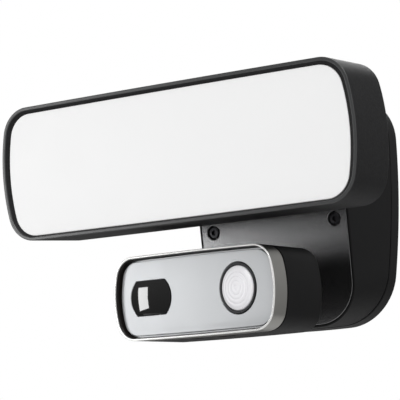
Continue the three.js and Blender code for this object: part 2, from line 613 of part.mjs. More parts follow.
// Window shape: a circle with a flat top and bottom.
function cutCircle(radius, flat, low, high) {
  return common(rod(radius, low, high, LENS.x, 0, 28), box(100, 2 * flat, 60, LENS.x, 0, 0));
}
function facePlate() {
  const plate = join(
    prism(inset(CAM, CAM_LIP + CAM_GROOVE), -FACE_BACK - 0.01, -CAM_RECESS),
    prism(inset(CAM, CAM_LIP + GAP), -FACE_BACK - FLANGE, -FACE_BACK),
  );
  const stands = [-1, 1].flatMap((side) => [
    rod(1.8, -BARREL_BACK, -FACE_BACK, LENS.x, side * SENSOR_POST, 8),
    rod(1.8, -PIR_BOARD + GAP, -FACE_BACK, PIR.x + side * PIR_POST, PIR.y, 8),
  ]);
  return cut(
    join(plate, ...stands),
    cutCircle(LENS.radius, LENS.flat, -FACE_BACK - 9, 1),
    oval([[0, -FACE_BACK - 9], [PIR_OPENING, -FACE_BACK - 9], [PIR_OPENING, 1], [0, 1]]),
  );
}
place(camera, 'face_plate', facePlate(), FINISH.face);
place(camera, 'lens_window', cutCircle(
  LENS.radius - GAP, LENS.flat - GAP, -CAM_RECESS - LENS.thick, -CAM_RECESS + 0.3,
), FINISH.glass);

const ringOuter = PIR.dome + PIR.band;
place(camera, 'pir_ring', oval([
  [PIR.dome, -FACE_BACK], [ringOuter, -FACE_BACK], [ringOuter, -CAM_RECESS + 0.4],
  [PIR.dome, -CAM_RECESS + 0.4], [PIR.dome, -FACE_BACK],
]), FINISH.ring);
// Shell of the sensor's lens: a low dome, open behind.
const DOME_RISE = 2.6;
const DOME_WALL = 1.2;
function sensorDome() {
  const outer = PIR.dome - GAP;
  const inner = outer - DOME_WALL;
  const rim = Array.from({ length: 4 }, (_, i) => {
    const angle = i * Math.PI / 8;
    return [outer * Math.cos(angle), -CAM_RECESS + DOME_RISE * Math.sin(angle)];
  });
  const crown = [0, -CAM_RECESS + DOME_RISE];
  const low = -FACE_BACK - 1;
  const high = -CAM_RECESS - 0.6;
  return cut(
    oval([[0, -FACE_BACK], [outer, -FACE_BACK], ...rim, crown]),
    oval([[0, low], [inner, low], [inner, high], [0, high]], 20),
  );
}
place(camera, 'pir_dome', sensorDome(), FINISH.dome);

const SPEAKER = { x: -22, radius: 13, depth: 5 };
const boardHalf = { x: CAM.halfWidth - 18, y: CAM.halfHeight - 8 };
const SHELL_FRONT = CAM_BAND + 1;
const SIDE_WALL = WALL - 0.4;
const bottom = -CAM.halfHeight;
const CAM_SCREW = { head: 2.8, headHeight: 1.6, shank: 1.2 };
const GRILLE = { holes: 6, radius: 0.9 };
// Slot through the module's underside, its length along x.
function slotDown(x, depth, width, height, thick) {
  const shape = slot(width, height, -thick / 2, thick / 2, 0, 0);
  return shape.rotateX(Math.PI / 2).translate(x, bottom + 1, -depth);
}
function cameraShell() {
  const rear = -CAM_DEPTH;
  const outer = loft([
    ring(inset(CAM, 1.2), rear),
    ring(CAM, rear + 1.2),
    ring(CAM, -SHELL_FRONT),
  ]);
  const hollow = prism(inset(CAM, SIDE_WALL), rear + WALL, 0);
  const bosses = camPosts.map(([x, y]) => rod(4.6, rear + 1, rear + 4.7, x, y));
  const holes = camPosts.flatMap(([x, y]) => [
    rod(1.8, rear - 1, rear + 6, x, y, 8),
    rod(3.2, rear - 1, rear + 2, x, y, 16),
  ]);
  const ports = [BUTTON, CARD].map(({ x, depth, width, height }) => (
    slotDown(x, depth, width + 2 * GAP, height + 2 * GAP, 6)
  ));
  const grille = Array.from({ length: GRILLE.holes }, (_, i) => {
    const angle = 2 * Math.PI * i / GRILLE.holes;
    const x = SPEAKER.x + SPEAKER.radius * 0.5 * Math.cos(angle);
    const y = SPEAKER.radius * 0.5 * Math.sin(angle);
    return rod(GRILLE.radius, rear - 1, rear + 6, x, y, 6);
  });
  const standTop = -BOARD_DEPTH - PCB / 2 - GAP;
  const stands = corners.map(([sx, sy]) => (
    rod(2.2, rear + 1, standTop, sx * (boardHalf.x - 4), sy * (boardHalf.y - 4), 8)
  ));
  const body = join(cut(outer, hollow), ...bosses, ...stands, hingeLugs(NECK, NECK_WIDTH, rear));
  return cut(body, ...holes, ...ports, ...grille);
}
place(camera, 'camera_shell', cameraShell(), FINISH.shell);
place(camera, 'camera_seal', cut(
  prism(inset(CAM, 0.8), -SHELL_FRONT + GAP - 0.1, -CAM_BAND - GAP + 0.1),
  prism(inset(CAM, 2.2), -SHELL_FRONT - 1, 0),
), FINISH.rubber);
camPosts.forEach(([x, y], i) => {
  const mesh = place(camera, `camera_screw_${i + 1}`, screw(CAM_SCREW, 13), FINISH.steel);
  mesh.rotation.y = Math.PI;
  mesh.position.set(x, y, -CAM_DEPTH + 0.1);
});

// Reset button: a cap in the slot on a shoulder that keeps it in, and its switch.
const SUNK = 0.4;
const PLUG_TOP = SIDE_WALL + SUNK + GAP + 1.4;
function plug({ x, depth, width, height }) {
  const cap = slot(width, height, SUNK, SIDE_WALL + SUNK, 0, 0);
  const shoulder = slot(width + 3, height + 2.4, SIDE_WALL + GAP, PLUG_TOP, 0, 0);
  return join(cap, shoulder).rotateX(-Math.PI / 2).translate(x, bottom, -depth);
}
place(camera, 'reset_button', plug(BUTTON), FINISH.rubber);
const switchFace = bottom + PLUG_TOP + BUTTON.travel + GAP;
place(camera, 'reset_switch', box(6, 3, 6, BUTTON.x, switchFace + 1.5, -BUTTON.depth), FINISH.part);
place(camera, 'card_cover', plug(CARD), FINISH.rubber);
place(camera, 'card_socket', cut(
  box(15, 14, 2.4, CARD.x, bottom + WALL + 12, -CARD.depth),
  box(11.4, 12, 1, CARD.x, bottom + WALL + 9, -CARD.depth),
), FINISH.bare);

// Optics and electronics.
const windowBack = -CAM_RECESS - LENS.thick;
place(camera, 'lens_barrel', turned([
  [0, -BARREL_BACK], [BARREL_RADIUS, -BARREL_BACK], [BARREL_RADIUS, -12],
  [BARREL_RADIUS - 1, windowBack - 1], [4, windowBack - 1], [3, -10], [0, -10],
], LENS.x, 0, 16), FINISH.part);
const sensorZ = -BARREL_BACK - GAP - PCB / 2;
place(camera, 'sensor_board', box(16, 2 * SENSOR_POST + 5, PCB, LENS.x, 0, sensorZ), FINISH.board);
place(camera, 'pir_sensor', turned([
  [0, -PIR_BOARD + GAP], [4.6, -PIR_BOARD + GAP], [4.6, -15.2], [4.1, -15.2], [4.1, -11.6], [0, -11.6],
], PIR.x, PIR.y, 12), FINISH.bare);
place(camera, 'pir_board', box(
  2 * PIR_POST + 3, 20, PCB, PIR.x, PIR.y, -PIR_BOARD - PCB / 2,
), FINISH.board);
place(camera, 'main_board', box(
  2 * boardHalf.x, 2 * boardHalf.y, PCB, 0, 0, -BOARD_DEPTH,
), FINISH.board);
const rearWall = -CAM_DEPTH + WALL + GAP;
place(camera, 'speaker', turned([
  [0, rearWall], [SPEAKER.radius, rearWall], [SPEAKER.radius, rearWall + 1.4],
  [SPEAKER.radius - 3, rearWall + SPEAKER.depth], [0, rearWall + SPEAKER.depth],
], SPEAKER.x, 0, 16), FINISH.part);
place(camera, 'microphone', rod(2, -BOARD_DEPTH + 1.1, -BOARD_DEPTH + 4, 2, -10, 8), FINISH.bare);
place(camera, 'wifi_antenna', box(30, 7, 0.8, 18, 6, rearWall + 0.4), FINISH.board);

export default model;
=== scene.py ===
"""Floodlight security camera for a wall: finished surfaces over the engineering frame.

A wedge housing on a wall plate carries a tilting LED lamp head above and a tilting
camera module below. Each sub-assembly is a class with its sizes and its finishes.
Sizes are millimetres in a sub-assembly's own directions, x to the right, y up its
front and z out of its front, and meshes are written in metres in the row frame.
"""

import logging
import math
from collections.abc import Callable, Iterable, Mapping, Sequence
from dataclasses import dataclass, replace
from enum import Enum
from typing import Any, Protocol

import bmesh
import bpy
from mathutils import Matrix, Vector


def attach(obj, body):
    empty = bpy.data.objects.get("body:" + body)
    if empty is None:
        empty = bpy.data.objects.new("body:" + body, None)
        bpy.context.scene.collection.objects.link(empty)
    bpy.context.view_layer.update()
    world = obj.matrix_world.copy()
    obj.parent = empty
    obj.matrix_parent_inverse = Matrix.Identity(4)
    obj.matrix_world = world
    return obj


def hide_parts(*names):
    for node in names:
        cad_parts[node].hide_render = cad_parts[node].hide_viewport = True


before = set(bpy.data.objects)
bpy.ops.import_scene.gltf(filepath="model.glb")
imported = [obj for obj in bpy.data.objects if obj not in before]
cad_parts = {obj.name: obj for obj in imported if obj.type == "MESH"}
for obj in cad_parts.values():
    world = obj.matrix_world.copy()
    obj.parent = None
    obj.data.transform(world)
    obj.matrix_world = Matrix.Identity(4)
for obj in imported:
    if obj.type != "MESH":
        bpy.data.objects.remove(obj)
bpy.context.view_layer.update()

logging.basicConfig(level=logging.INFO, format="%(message)s")
log = logging.getLogger("floodlight")

Point = tuple[float, float]
Triple = tuple[float, float, float]
Piece = bpy.types.Object
Socket = bpy.types.NodeSocket

METRES = 0.001  # in a millimetre
GAP = 0.3  # clearance between fitted pieces, in millimetres


def placed(name: str, data: bpy.types.ID) -> Piece:
    """Puts a new object of some data into the scene."""
    thing = bpy.data.objects.new(name, data)
    bpy.context.scene.collection.objects.link(thing)
    return thing


class Graph:
    """Adds, sets and links the nodes of one tree."""

    def __init__(self, tree: bpy.types.NodeTree) -> None:
        """Takes the tree."""
        self.tree = tree

    def feed(self, node: bpy.types.Node, inputs: Mapping[str | int, Any]) -> None:
        """Gives inputs, by name or number, a value or a socket to link to.

        Args:
            node: The node.
            inputs: A value, or a socket to link to, by input.
        """
        for name, value in inputs.items():
            if isinstance(value, Socket):
                self.tree.links.new(value, node.inputs[name])
            else:
                node.inputs[name].default_value = value

    def add(self, kind: str, inputs: Mapping[str | int, Any] | None = None,
            **options: Any) -> bpy.types.Node:
        """Adds a node.

        Args:
            kind: The node's type.
            inputs: What its inputs are fed.
            options: Its own options, which are set first.

        Returns:
            The node.
        """
        node = self.tree.nodes.new(kind)
        for name, value in options.items():
            setattr(node, name, value)
        self.feed(node, inputs or {})
        return node


class Body(Enum):
    """The rigid bodies that the new pieces ride on."""

    WALL = "wall_unit"
    LAMP = "lamp_head"
    CAMERA = "camera_head"
    BUTTON = "reset_button"


class Cut(Enum):
    """How a tool changes the piece it meets."""

    REMOVE = "DIFFERENCE"
    JOIN = "UNION"
    KEEP_SHARED = "INTERSECT"


# ---------------------------------------------------------------------- finishes
class Pattern(Enum):
    """Colour pattern laid over a finish."""

    NONE = "none"
    TRACES = "traces"


@dataclass(frozen=True)
class Grain:
    """Fine relief of a surface: size and depth in millimetres, and stretch per axis."""

    size: float
    depth: float
    stretch: Triple = (1.0, 1.0, 1.0)
    detail: float = 3.0


@dataclass(frozen=True)
class Finish:
    """Everything a surface needs to be shaded.

    Colours are display hex codes; sizes are millimetres.
    """

    name: str
    slot: str
    colour: str
    roughness: float
    metallic: float = 0.0
    specular: float = 0.5
    coat: float = 0.0
    grain: Grain | None = None
    mottle: float = 0.06
    mottle_size: float = 14.0
    smudge: float = 0.05
    # Emission strength; where set, a painted glow that brightens a surface beyond what the lights
    # give.
    glow: float = 0.0
    scatter: float = 0.0
    anisotropy: float = 0.0
    pattern: Pattern = Pattern.NONE


def linear(code: str) -> Triple:
    """Turns a display hex code into scene-linear values.

    Args:
        code: Six hex digits.

    Returns:
        Red, green and blue in scene-linear light.
    """
    values = [int(code[i:i + 2], 16) / 255 for i in (0, 2, 4)]
    return tuple(v / 12.92 if v <= 0.04045 else ((v + 0.055) / 1.055) ** 2.4 for v in values)


@dataclass(frozen=True)
class Finishes:
    """The finishes of the whole product."""

    shell: Finish = Finish("Moulded Shell", "black_shell", "0c0c0d", 0.46, specular=0.16,
                           grain=Grain(0.55, 0.03), smudge=0.06)
    lamp: Finish = Finish("Sanded Shell", "black_shell", "1b1b1c", 0.5, specular=0.18,
                          grain=Grain(1.1, 0.1, detail=4.0), smudge=0.05, mottle=0.95,
                          mottle_size=1.3)
    # Rim lip: its colour, lighter than the shell's, is a painted highlight; its raised specular
    # level is rendered.
    rim: Finish = Finish("Rubbed Rim", "black_shell", "2c2d2e", 0.34, specular=0.8,
                         grain=Grain(0.5, 0.008))
    plate: Finish = Finish("Moulded Plate", "black_plate", "0c0c0d", 0.48, specular=0.2,
                           grain=Grain(0.6, 0.02))
    cover: Finish = Finish("Sanded Cover", "grey_cover", "7c7c7d", 0.25, metallic=0.95,
                           specular=0.5, grain=Grain(0.9, 0.05, detail=5.0), mottle=0.4,
                           mottle_size=0.8)
    alloy: Finish = Finish("Painted Casting", "cast_alloy", "1a1a1b", 0.48, specular=0.5,
                           grain=Grain(1.1, 0.035))
    bare: Finish = Finish("Bare Aluminium", "bare_aluminium", "b9bbbe", 0.34, metallic=1.0,
                          grain=Grain(0.5, 0.01, (0.06, 1.0, 1.0)))
    # Opal diffuser: its subsurface scatter is its own; its glow is painted light, an emission that
    # brightens it beyond what the lights give.
    opal: Finish = Finish("Opal Diffuser", "opal_diffuser", "ececec", 0.4, mottle=0.0,
                          glow=0.13, scatter=0.1)
    satin: Finish = Finish("Satin Silver", "satin_silver", "a9a8a4", 0.3, metallic=1.0,
                           grain=Grain(0.4, 0.006, (0.05, 1.0, 1.0)), anisotropy=0.3)
    # Polished edge, partly painted highlight: a real polished edge whose near-white colour stands
    # in for its bright highlight line.
    polished: Finish = Finish("Polished Edge", "satin_silver", "f4f4f2", 0.24, metallic=0.6,
                               mottle=0.0)
    # Painted shade: a dark brownish colour on the band's inner wall, where shade falls in the
    # recess behind the edge.
    groove: Finish = Finish("Shaded Groove", "satin_silver", "17120f", 0.35, metallic=0.3)
    face: Finish = Finish("Brushed Face", "silver_face", "bfc1c3", 0.34, metallic=0.5,
                          grain=Grain(0.35, 0.003, (0.04, 1.0, 1.0)), anisotropy=0.3,
                          mottle=0.015)
    glass: Finish = Finish("Black Glass", "black_glass", "030303", 0.03, specular=0.6, coat=1.0,
                           mottle=0.0, smudge=0.01)
    # Sensor dome: its glow is painted light, an emission on a part that gives no light of its own.
    dome: Finish = Finish("Sensor Dome", "white_dome", "f1f0f3", 0.25, glow=0.05, scatter=0.0,
                          mottle=0.0)
    ring: Finish = Finish("Dark Ring", "dark_ring", "27282a", 0.3, metallic=0.2)
    steel: Finish = Finish("Blackened Steel", "screw_steel", "39393b", 0.26, metallic=0.95,
                           grain=Grain(0.3, 0.004))
    board: Finish = Finish("Circuit Board", "circuit_board", "1c5230", 0.4, coat=0.3,
                           pattern=Pattern.TRACES)
    rubber: Finish = Finish("Seal Rubber", "seal_rubber", "131314", 0.75, specular=0.3,
                            grain=Grain(0.5, 0.01))
    white: Finish = Finish("White Plastic", "white_plastic", "e6e6e2", 0.42,
                           grain=Grain(0.5, 0.006))
    part: Finish = Finish("Component Black", "component_black", "17171a", 0.5,
                          grain=Grain(0.4, 0.01))


FINISH = Finishes()


class Look(Graph):
    """Nodes of one finish's material."""

    COAT_ROUGHNESS = 0.04
    SCATTER_REACH = 1.5
    SMUDGE_SIZE = 22.0
    LEAST_ROUGHNESS = 0.01
    TRACE = "4f8a4c"

    def __init__(self, material: bpy.types.Material, finish: Finish) -> None:
        """Writes the node tree of the material for a finish.

        Args:
            material: The new material.
            finish: Its finish.
        """
        material.use_nodes = True
        super().__init__(material.node_tree)
        self.finish = finish
        self.place = self.add("ShaderNodeTexCoord").outputs["Object"]
        colour = (*linear(finish.colour), 1.0)
        material.diffuse_color = colour
        inputs = {
            "Base Color": self._mottle() if finish.mottle else colour,
            "Roughness": self._smudge() if finish.smudge else finish.roughness,
            "Metallic": finish.metallic, "Specular IOR Level": finish.specular,
            "Anisotropic": finish.anisotropy, "Coat Weight": finish.coat,
            "Coat Roughness": self.COAT_ROUGHNESS,
        }
        # The emission is painted light: a glow that brightens the surface beyond what the lights
        # give.
        if finish.glow:
            inputs |= {"Emission Color": colour, "Emission Strength": finish.glow}
        if finish.scatter:
            inputs |= {"Subsurface Weight": finish.scatter, "Subsurface Radius": (1.0, 1.0, 1.0),
                       "Subsurface Scale": self.SCATTER_REACH * METRES}
        if finish.grain:
            inputs |= {"Normal": self._relief(finish.grain)}
        self.feed(self.tree.nodes["Principled BSDF"], inputs)

    def _noise(self, place: Socket, size: float, detail: float) -> Socket:
        """Adds a noise whose features are about a size in millimetres across."""
        return self.add("ShaderNodeTexNoise", {
            "Vector": place, "Scale": 1 / (size * METRES), "Detail": detail,
        }).outputs["Fac"]

    def _mottle(self) -> Socket:
        """Varies the colour slightly, or lays the finish's pattern over it.

        Returns:
            The colour.
        """
        finish = self.finish
        base = linear(finish.colour)

        def shade(factor: float) -> tuple[float, ...]:
            """The base colour made lighter or darker."""
            return (*(c * factor for c in base), 1.0)

        high: Any = shade(1 + finish.mottle)
        if finish.pattern is Pattern.TRACES:
            high = self.add("ShaderNodeTexBrick", {
                "Vector": self.place, "Scale": 260.0, "Mortar Size": 0.03, "Color1": shade(1.0),
                "Color2": shade(1.25), "Mortar": (*linear(self.TRACE), 1.0),
            }).outputs["Color"]
        return self.add("ShaderNodeMix", {
            "Factor": self._noise(self.place, finish.mottle_size, 2.0),
            "A": shade(1 - finish.mottle), "B": high,
        }, data_type="RGBA").outputs["Result"]

    def _smudge(self) -> Socket:
        """Varies the roughness over large soft patches.

        Returns:
            The roughness.
        """
        roughness, smudge = self.finish.roughness, self.finish.smudge
        return self.add("ShaderNodeMapRange", {
            "Value": self._noise(self.place, self.SMUDGE_SIZE, 3.0),
            "To Min": max(roughness - smudge, self.LEAST_ROUGHNESS), "To Max": roughness + smudge,
        }).outputs["Result"]

    def _relief(self, grain: Grain) -> Socket:
        """Makes the fine relief as a bump.

        Args:
            grain: The relief.

        Returns:
            The normal.
        """
        stretched = self.add("ShaderNodeMapping", {"Vector": self.place, "Scale": grain.stretch})
        height = self._noise(stretched.outputs["Vector"], grain.size, grain.detail)
        return self.add("ShaderNodeBump", {
            "Height": height, "Strength": 1.0, "Distance": grain.depth * METRES,
        }).outputs["Normal"]


class Palette:
    """Builds each finish's procedural material once."""

    def __init__(self) -> None:
        """Starts without materials."""
        self._made: dict[str, bpy.types.Material] = {}

    def material(self, finish: Finish) -> bpy.types.Material:
        """Gives the material of a finish.

        Args:
            finish: The finish wanted.

        Returns:
            Its material, built the first time it is asked for.
        """
        if finish.name not in self._made:
            self._made[finish.name] = bpy.data.materials.new(finish.name)
            Look(self._made[finish.name], finish)
        return self._made[finish.name]


# ---------------------------------------------------------------------- outlines
class Outline(Protocol):
    """A closed shape about its own centre that can be moved inwards."""

    def inset(self, distance: float) -> "Outline":
        """Gives the outline moved inwards by an even distance."""

    def points(self) -> list[Point]:
        """Gives the outline's points, counter-clockwise from the right-hand middle."""


def arc(x: float, y: float, radius: float, start: float, end: float, steps: int) -> list[Point]:
    """Points along an arc, without its first one."""
    angles = [start + (end - start) * (i + 1) / steps for i in range(steps)]
    return [(x + radius * math.cos(a), y + radius * math.sin(a)) for a in angles]


def mirrored(quarter: list[Point]) -> list[Point]:
    """Completes an outline from its quarter between the right-hand and top middles."""
    upper = quarter + [(-x, y) for x, y in reversed(quarter[:-1])]
    return upper + [(-x, -y) for x, y in upper[1:-1]]


@dataclass(frozen=True)
class Bowed:
    """Rounded rectangle whose sides and ends bow slightly outwards."""

    half_width: float
    half_height: float
    side_bow: float
    end_bow: float
    corner: float

    def inset(self, distance: float) -> "Bowed":
        """Gives the outline moved inwards by an even distance.

        Args:
            distance: Millimetres inwards.

        Returns:
            The smaller outline.
        """
        def shrink(bow: float, half: float) -> float:
            """A bow's height after the inset."""
            radius = (half**2 + bow**2) / (2 * bow) - distance
            return radius - math.sqrt(radius**2 - (half - distance) ** 2)

        return Bowed(self.half_width - distance, self.half_height - distance,
                     shrink(self.side_bow, self.half_height),
                     shrink(self.end_bow, self.half_width), max(self.corner - distance, 1.0))

    def points(self) -> list[Point]:
        """Gives the outline's points, counter-clockwise from the right-hand middle.

        Returns:
            The points as x and y.
        """
        side_radius = (self.half_height**2 + self.side_bow**2) / (2 * self.side_bow)
        end_radius = (self.half_width**2 + self.end_bow**2) / (2 * self.end_bow)
        side = Vector((self.half_width - side_radius, 0.0))
        end = Vector((0.0, self.half_height - end_radius))
        span = (end - side).length
        unit = (end - side) / span
        reach = side_radius - self.corner
        along = (span**2 + reach**2 - (end_radius - self.corner) ** 2) / (2 * span)
        across = math.sqrt(max(reach**2 - along**2, 0.0))
        centre = Vector((side.x + unit.x * along - unit.y * across,
                         side.y + unit.y * along + unit.x * across))
        low = math.atan2(centre.y - side.y, centre.x - side.x)
        high = math.atan2(centre.y - end.y, centre.x - end.x)
        return mirrored([
            (self.half_width, 0.0),
            *arc(side.x, side.y, side_radius, 0.0, low, 8),
            *arc(centre.x, centre.y, self.corner, low, high, 16),
            *arc(end.x, end.y, end_radius, high, math.pi / 2, 10),
        ])


@dataclass(frozen=True)
class Disc:
    """Circle, or an oval that is taller than wide by a ratio, which an inset keeps."""

    radius: float
    quarter: int = 24
    tall: float = 1.0

    def inset(self, distance: float) -> "Disc":
        """Gives the outline moved inwards by a distance at its sides."""
        return replace(self, radius=self.radius - distance)

    def points(self) -> list[Point]:
        """Gives the outline's points."""
        circle = [(self.radius, 0.0),
                  *arc(0.0, 0.0, self.radius, 0.0, math.pi / 2, self.quarter)]
        return mirrored([(x, y * self.tall) for x, y in circle])


@dataclass(frozen=True)
class CutDisc:
    """Circle with a flat top and bottom and slightly rounded corners."""

    radius: float
    flat: float
    corner: float

    def inset(self, distance: float) -> "CutDisc":
        """Gives the outline moved inwards by an even distance."""
        return CutDisc(self.radius - distance, self.flat - distance,
                       max(self.corner - distance, 0.2))

    def points(self) -> list[Point]:
        """Gives the outline's points.

        Returns:
            The points as x and y.
        """
        y = self.flat - self.corner
        x = math.sqrt((self.radius - self.corner) ** 2 - y**2)
        turn = math.atan2(y, x)
        return mirrored([
            (self.radius, 0.0),
            *arc(0.0, 0.0, self.radius, 0.0, turn, 16),
            *arc(x, y, self.corner, turn, math.pi / 2, 8),
            *[(x * (1 - i / 4), self.flat) for i in range(1, 5)],
        ])


@dataclass(frozen=True)
class Stadium:
    """Slot with round ends, its length along x."""

    half_length: float
    half_width: float

    def inset(self, distance: float) -> "Stadium":
        """Gives the outline moved inwards by an even distance."""
        return Stadium(self.half_length - distance, self.half_width - distance)

    def points(self) -> list[Point]:
        """Gives the outline's points.

        Returns:
            The points as x and y.
        """
        reach = self.half_length - self.half_width
        return mirrored([
            (self.half_length, 0.0),
            *arc(reach, 0.0, self.half_width, 0.0, math.pi / 2, 12),
            *[(reach * (1 - i / 3), self.half_width) for i in range(1, 4)],
        ])


@dataclass(frozen=True)
class Hexagon:
    """Six-sided socket, given by its radius over the corners."""

    radius: float

    def inset(self, distance: float) -> "Hexagon":
        """Gives the hexagon moved inwards by an even distance."""
        return Hexagon(self.radius - distance / math.cos(math.pi / 6))

    def points(self) -> list[Point]:
        """Gives the hexagon's corners."""
        return [(self.radius * math.cos(i * math.pi / 3), self.radius * math.sin(i * math.pi / 3))
                for i in range(6)]


# ---------------------------------------------------------------------- sections
@dataclass(frozen=True)
class Knee:
    """Corner of a section: distance in from the outline, height, and rounding radius."""

    inset: float
    height: float
    radius: float = 0.0


ROUNDING_STEPS = 4


def rounded(section: Sequence[Knee], closed: bool) -> list[Point]:
    """Rounds a section's corners.

    Args:
        section: The section's corners in order.
        closed: Whether the last corner joins the first.

    Returns:
        Pairs of inset and height along the rounded section.
    """
    spots = [Vector((k.inset, k.height)) for k in section]
    count = len(spots)
    path: list[Point] = []
    for i, knee in enumerate(section):
        here = spots[i]
        inner = closed or 0 < i < count - 1
        if not inner or knee.radius <= 0:
            path.append((here.x, here.y))
            continue
        before, after = spots[i - 1] - here, spots[(i + 1) % count] - here
        opening = before.angle(after)
        reach = min(knee.radius / math.tan(opening / 2), 0.46 * before.length, 0.46 * after.length)
        radius = reach * math.tan(opening / 2)
        u, v = before.normalized(), after.normalized()
        centre = here + (u + v).normalized() * radius / math.sin(opening / 2)
        first, last = here + u * reach - centre, here + v * reach - centre
        turn = first.angle_signed(last)
        start = math.atan2(first.y, first.x)
        hold = min(0.2 * reach, 0.1)
        path.append(tuple(here + u * (reach + hold)))
        for step in range(ROUNDING_STEPS + 1):
            angle = start - turn * step / ROUNDING_STEPS
            path.append((centre.x + radius * math.cos(angle), centre.y + radius * math.sin(angle)))
        path.append(tuple(here + v * (reach + hold)))
    return path


@dataclass(frozen=True)
class Seat:
    """Where a sub-assembly's front sits: its tilt down in degrees, y and z in millimetres."""

    tilt: float
    y: float
    z: float

    @property
    def turn(self) -> Matrix:
        """The rotation from the sub-assembly's directions to the row frame."""
        return Matrix.Rotation(math.pi / 2 + math.radians(self.tilt), 4, "X")

    @property
    def matrix(self) -> Matrix:
        """Own millimetres to row-frame metres."""
        return Matrix.Scale(METRES, 4) @ Matrix.Translation((0.0, self.y, self.z)) @ self.turn


class Draft:
    """Closed shells gathered in a seat's own millimetres, then written as one mesh."""

    def __init__(self, seat: Seat) -> None:
        """Starts empty in a seat."""
        self.seat = seat
        self._points: list[Vector] = []
        self._faces: list[list[int]] = []

    def rings(self, rings: Sequence[Sequence[Vector]], closed: bool = False,
              place: Matrix | None = None) -> "Draft":
        """Skins rings of equal count.

        Args:
            rings: The rings in order.
            closed: Whether the last ring joins the first; otherwise both ends are capped.
            place: An extra placement in the seat's millimetres.

        Returns:
            The draft itself, so that calls chain.
        """
        start, size = len(self._points), len(rings[0])
        move = place or Matrix.Identity(4)
        self._points += [move @ p for ring in rings for p in ring]
        last = len(rings) if closed else len(rings) - 1
        for r in range(last):
            low, high = start + r * size, start + ((r + 1) % len(rings)) * size
            for i in range(size):
                j = (i + 1) % size
                self._faces.append([low + i, low + j, high + j, high + i])
        if not closed:
            self._faces.append([start + i for i in reversed(range(size))])
            self._faces.append([start + (len(rings) - 1) * size + i for i in range(size)])
        return self

    def sweep(self, outline: Outline | Callable[[float, float], list[Point]],
              section: Sequence[Knee], closed: bool = False, x: float = 0.0, y: float = 0.0,
              place: Matrix | None = None) -> "Draft":
        """Carries a section round an outline.

        Args:
            outline: The outline, or a rule that gives the points at an inset and height.
            section: The section's corners.
            closed: Whether the section closes on itself.
            x: Centre to the right.
            y: Centre upwards.
            place: An extra placement in the seat's millimetres.

        Returns:
            The draft itself.
        """
        def at(inset: float, height: float) -> list[Point]:
            """The points at an inset and height."""
            return outline(inset, height) if callable(outline) else outline.inset(inset).points()

        rings = [[Vector((px + x, py + y, height)) for px, py in at(inset, height)]
                 for inset, height in rounded(section, closed)]
        return self.rings(rings, closed, place)

    def prism(self, outline: Outline, low: float, high: float, x: float = 0.0, y: float = 0.0,
              place: Matrix | None = None) -> "Draft":
        """Adds a straight solid of an outline between two heights."""
        return self.sweep(outline, [Knee(0, low), Knee(0, high)], x=x, y=y, place=place)

    def block(self, low: Sequence[float], high: Sequence[float],
              place: Matrix | None = None) -> "Draft":
        """Adds a box between two corners.

        Args:
            low: Its corner with the least x, y and z.
            high: The opposite corner.
            place: An extra placement in the seat's millimetres.

        Returns:
            The draft itself.
        """
        rings = [[Vector((x, y, z)) for x, y in (
            (low[0], low[1]), (high[0], low[1]), (high[0], high[1]), (low[0], high[1]))]
            for z in (low[2], high[2])]
        return self.rings(rings, place=place)

    def write(self, name: str) -> Piece:
        """Writes the gathered shells as one object in the row frame.

        Args:
            name: The object's name.

        Returns:
            The object, at the origin and unturned, with its faces outward.
        """
        mesh = bpy.data.meshes.new(name)
        mesh.from_pydata([self.seat.matrix @ p for p in self._points], [], self._faces)
        edit = bmesh.new()
        edit.from_mesh(mesh)
        bmesh.ops.recalc_face_normals(edit, faces=edit.faces)
        edit.to_mesh(mesh)
        edit.free()
        return placed(name, mesh)


def plain_mesh(thing: Piece) -> Piece:
    """Turns an object's modifiers into its mesh and removes them.

    Args:
        thing: The object.

    Returns:
        The same object.
    """
    evaluated = thing.evaluated_get(bpy.context.evaluated_depsgraph_get())
    mesh = bpy.data.meshes.new_from_object(evaluated)
    thing.modifiers.clear()
    old, thing.data = thing.data, mesh
    mesh.name = thing.name
    bpy.data.meshes.remove(old)
    return thing


def carve(base: Piece, tool: Piece, how: Cut) -> Piece:
    """Changes a piece by a tool, and removes the tool.

    Args:
        base: The piece.
        tool: The tool's closed shells.
        how: Whether they are removed, joined or kept where shared.

    Returns:
        The piece with its new plain mesh.
    """
    modifier = base.modifiers.new("Carve", "BOOLEAN")
    modifier.operation = how.value
    modifier.solver = "EXACT"
    modifier.object = tool
    plain_mesh(base)
    bpy.data.objects.remove(tool)
    return base


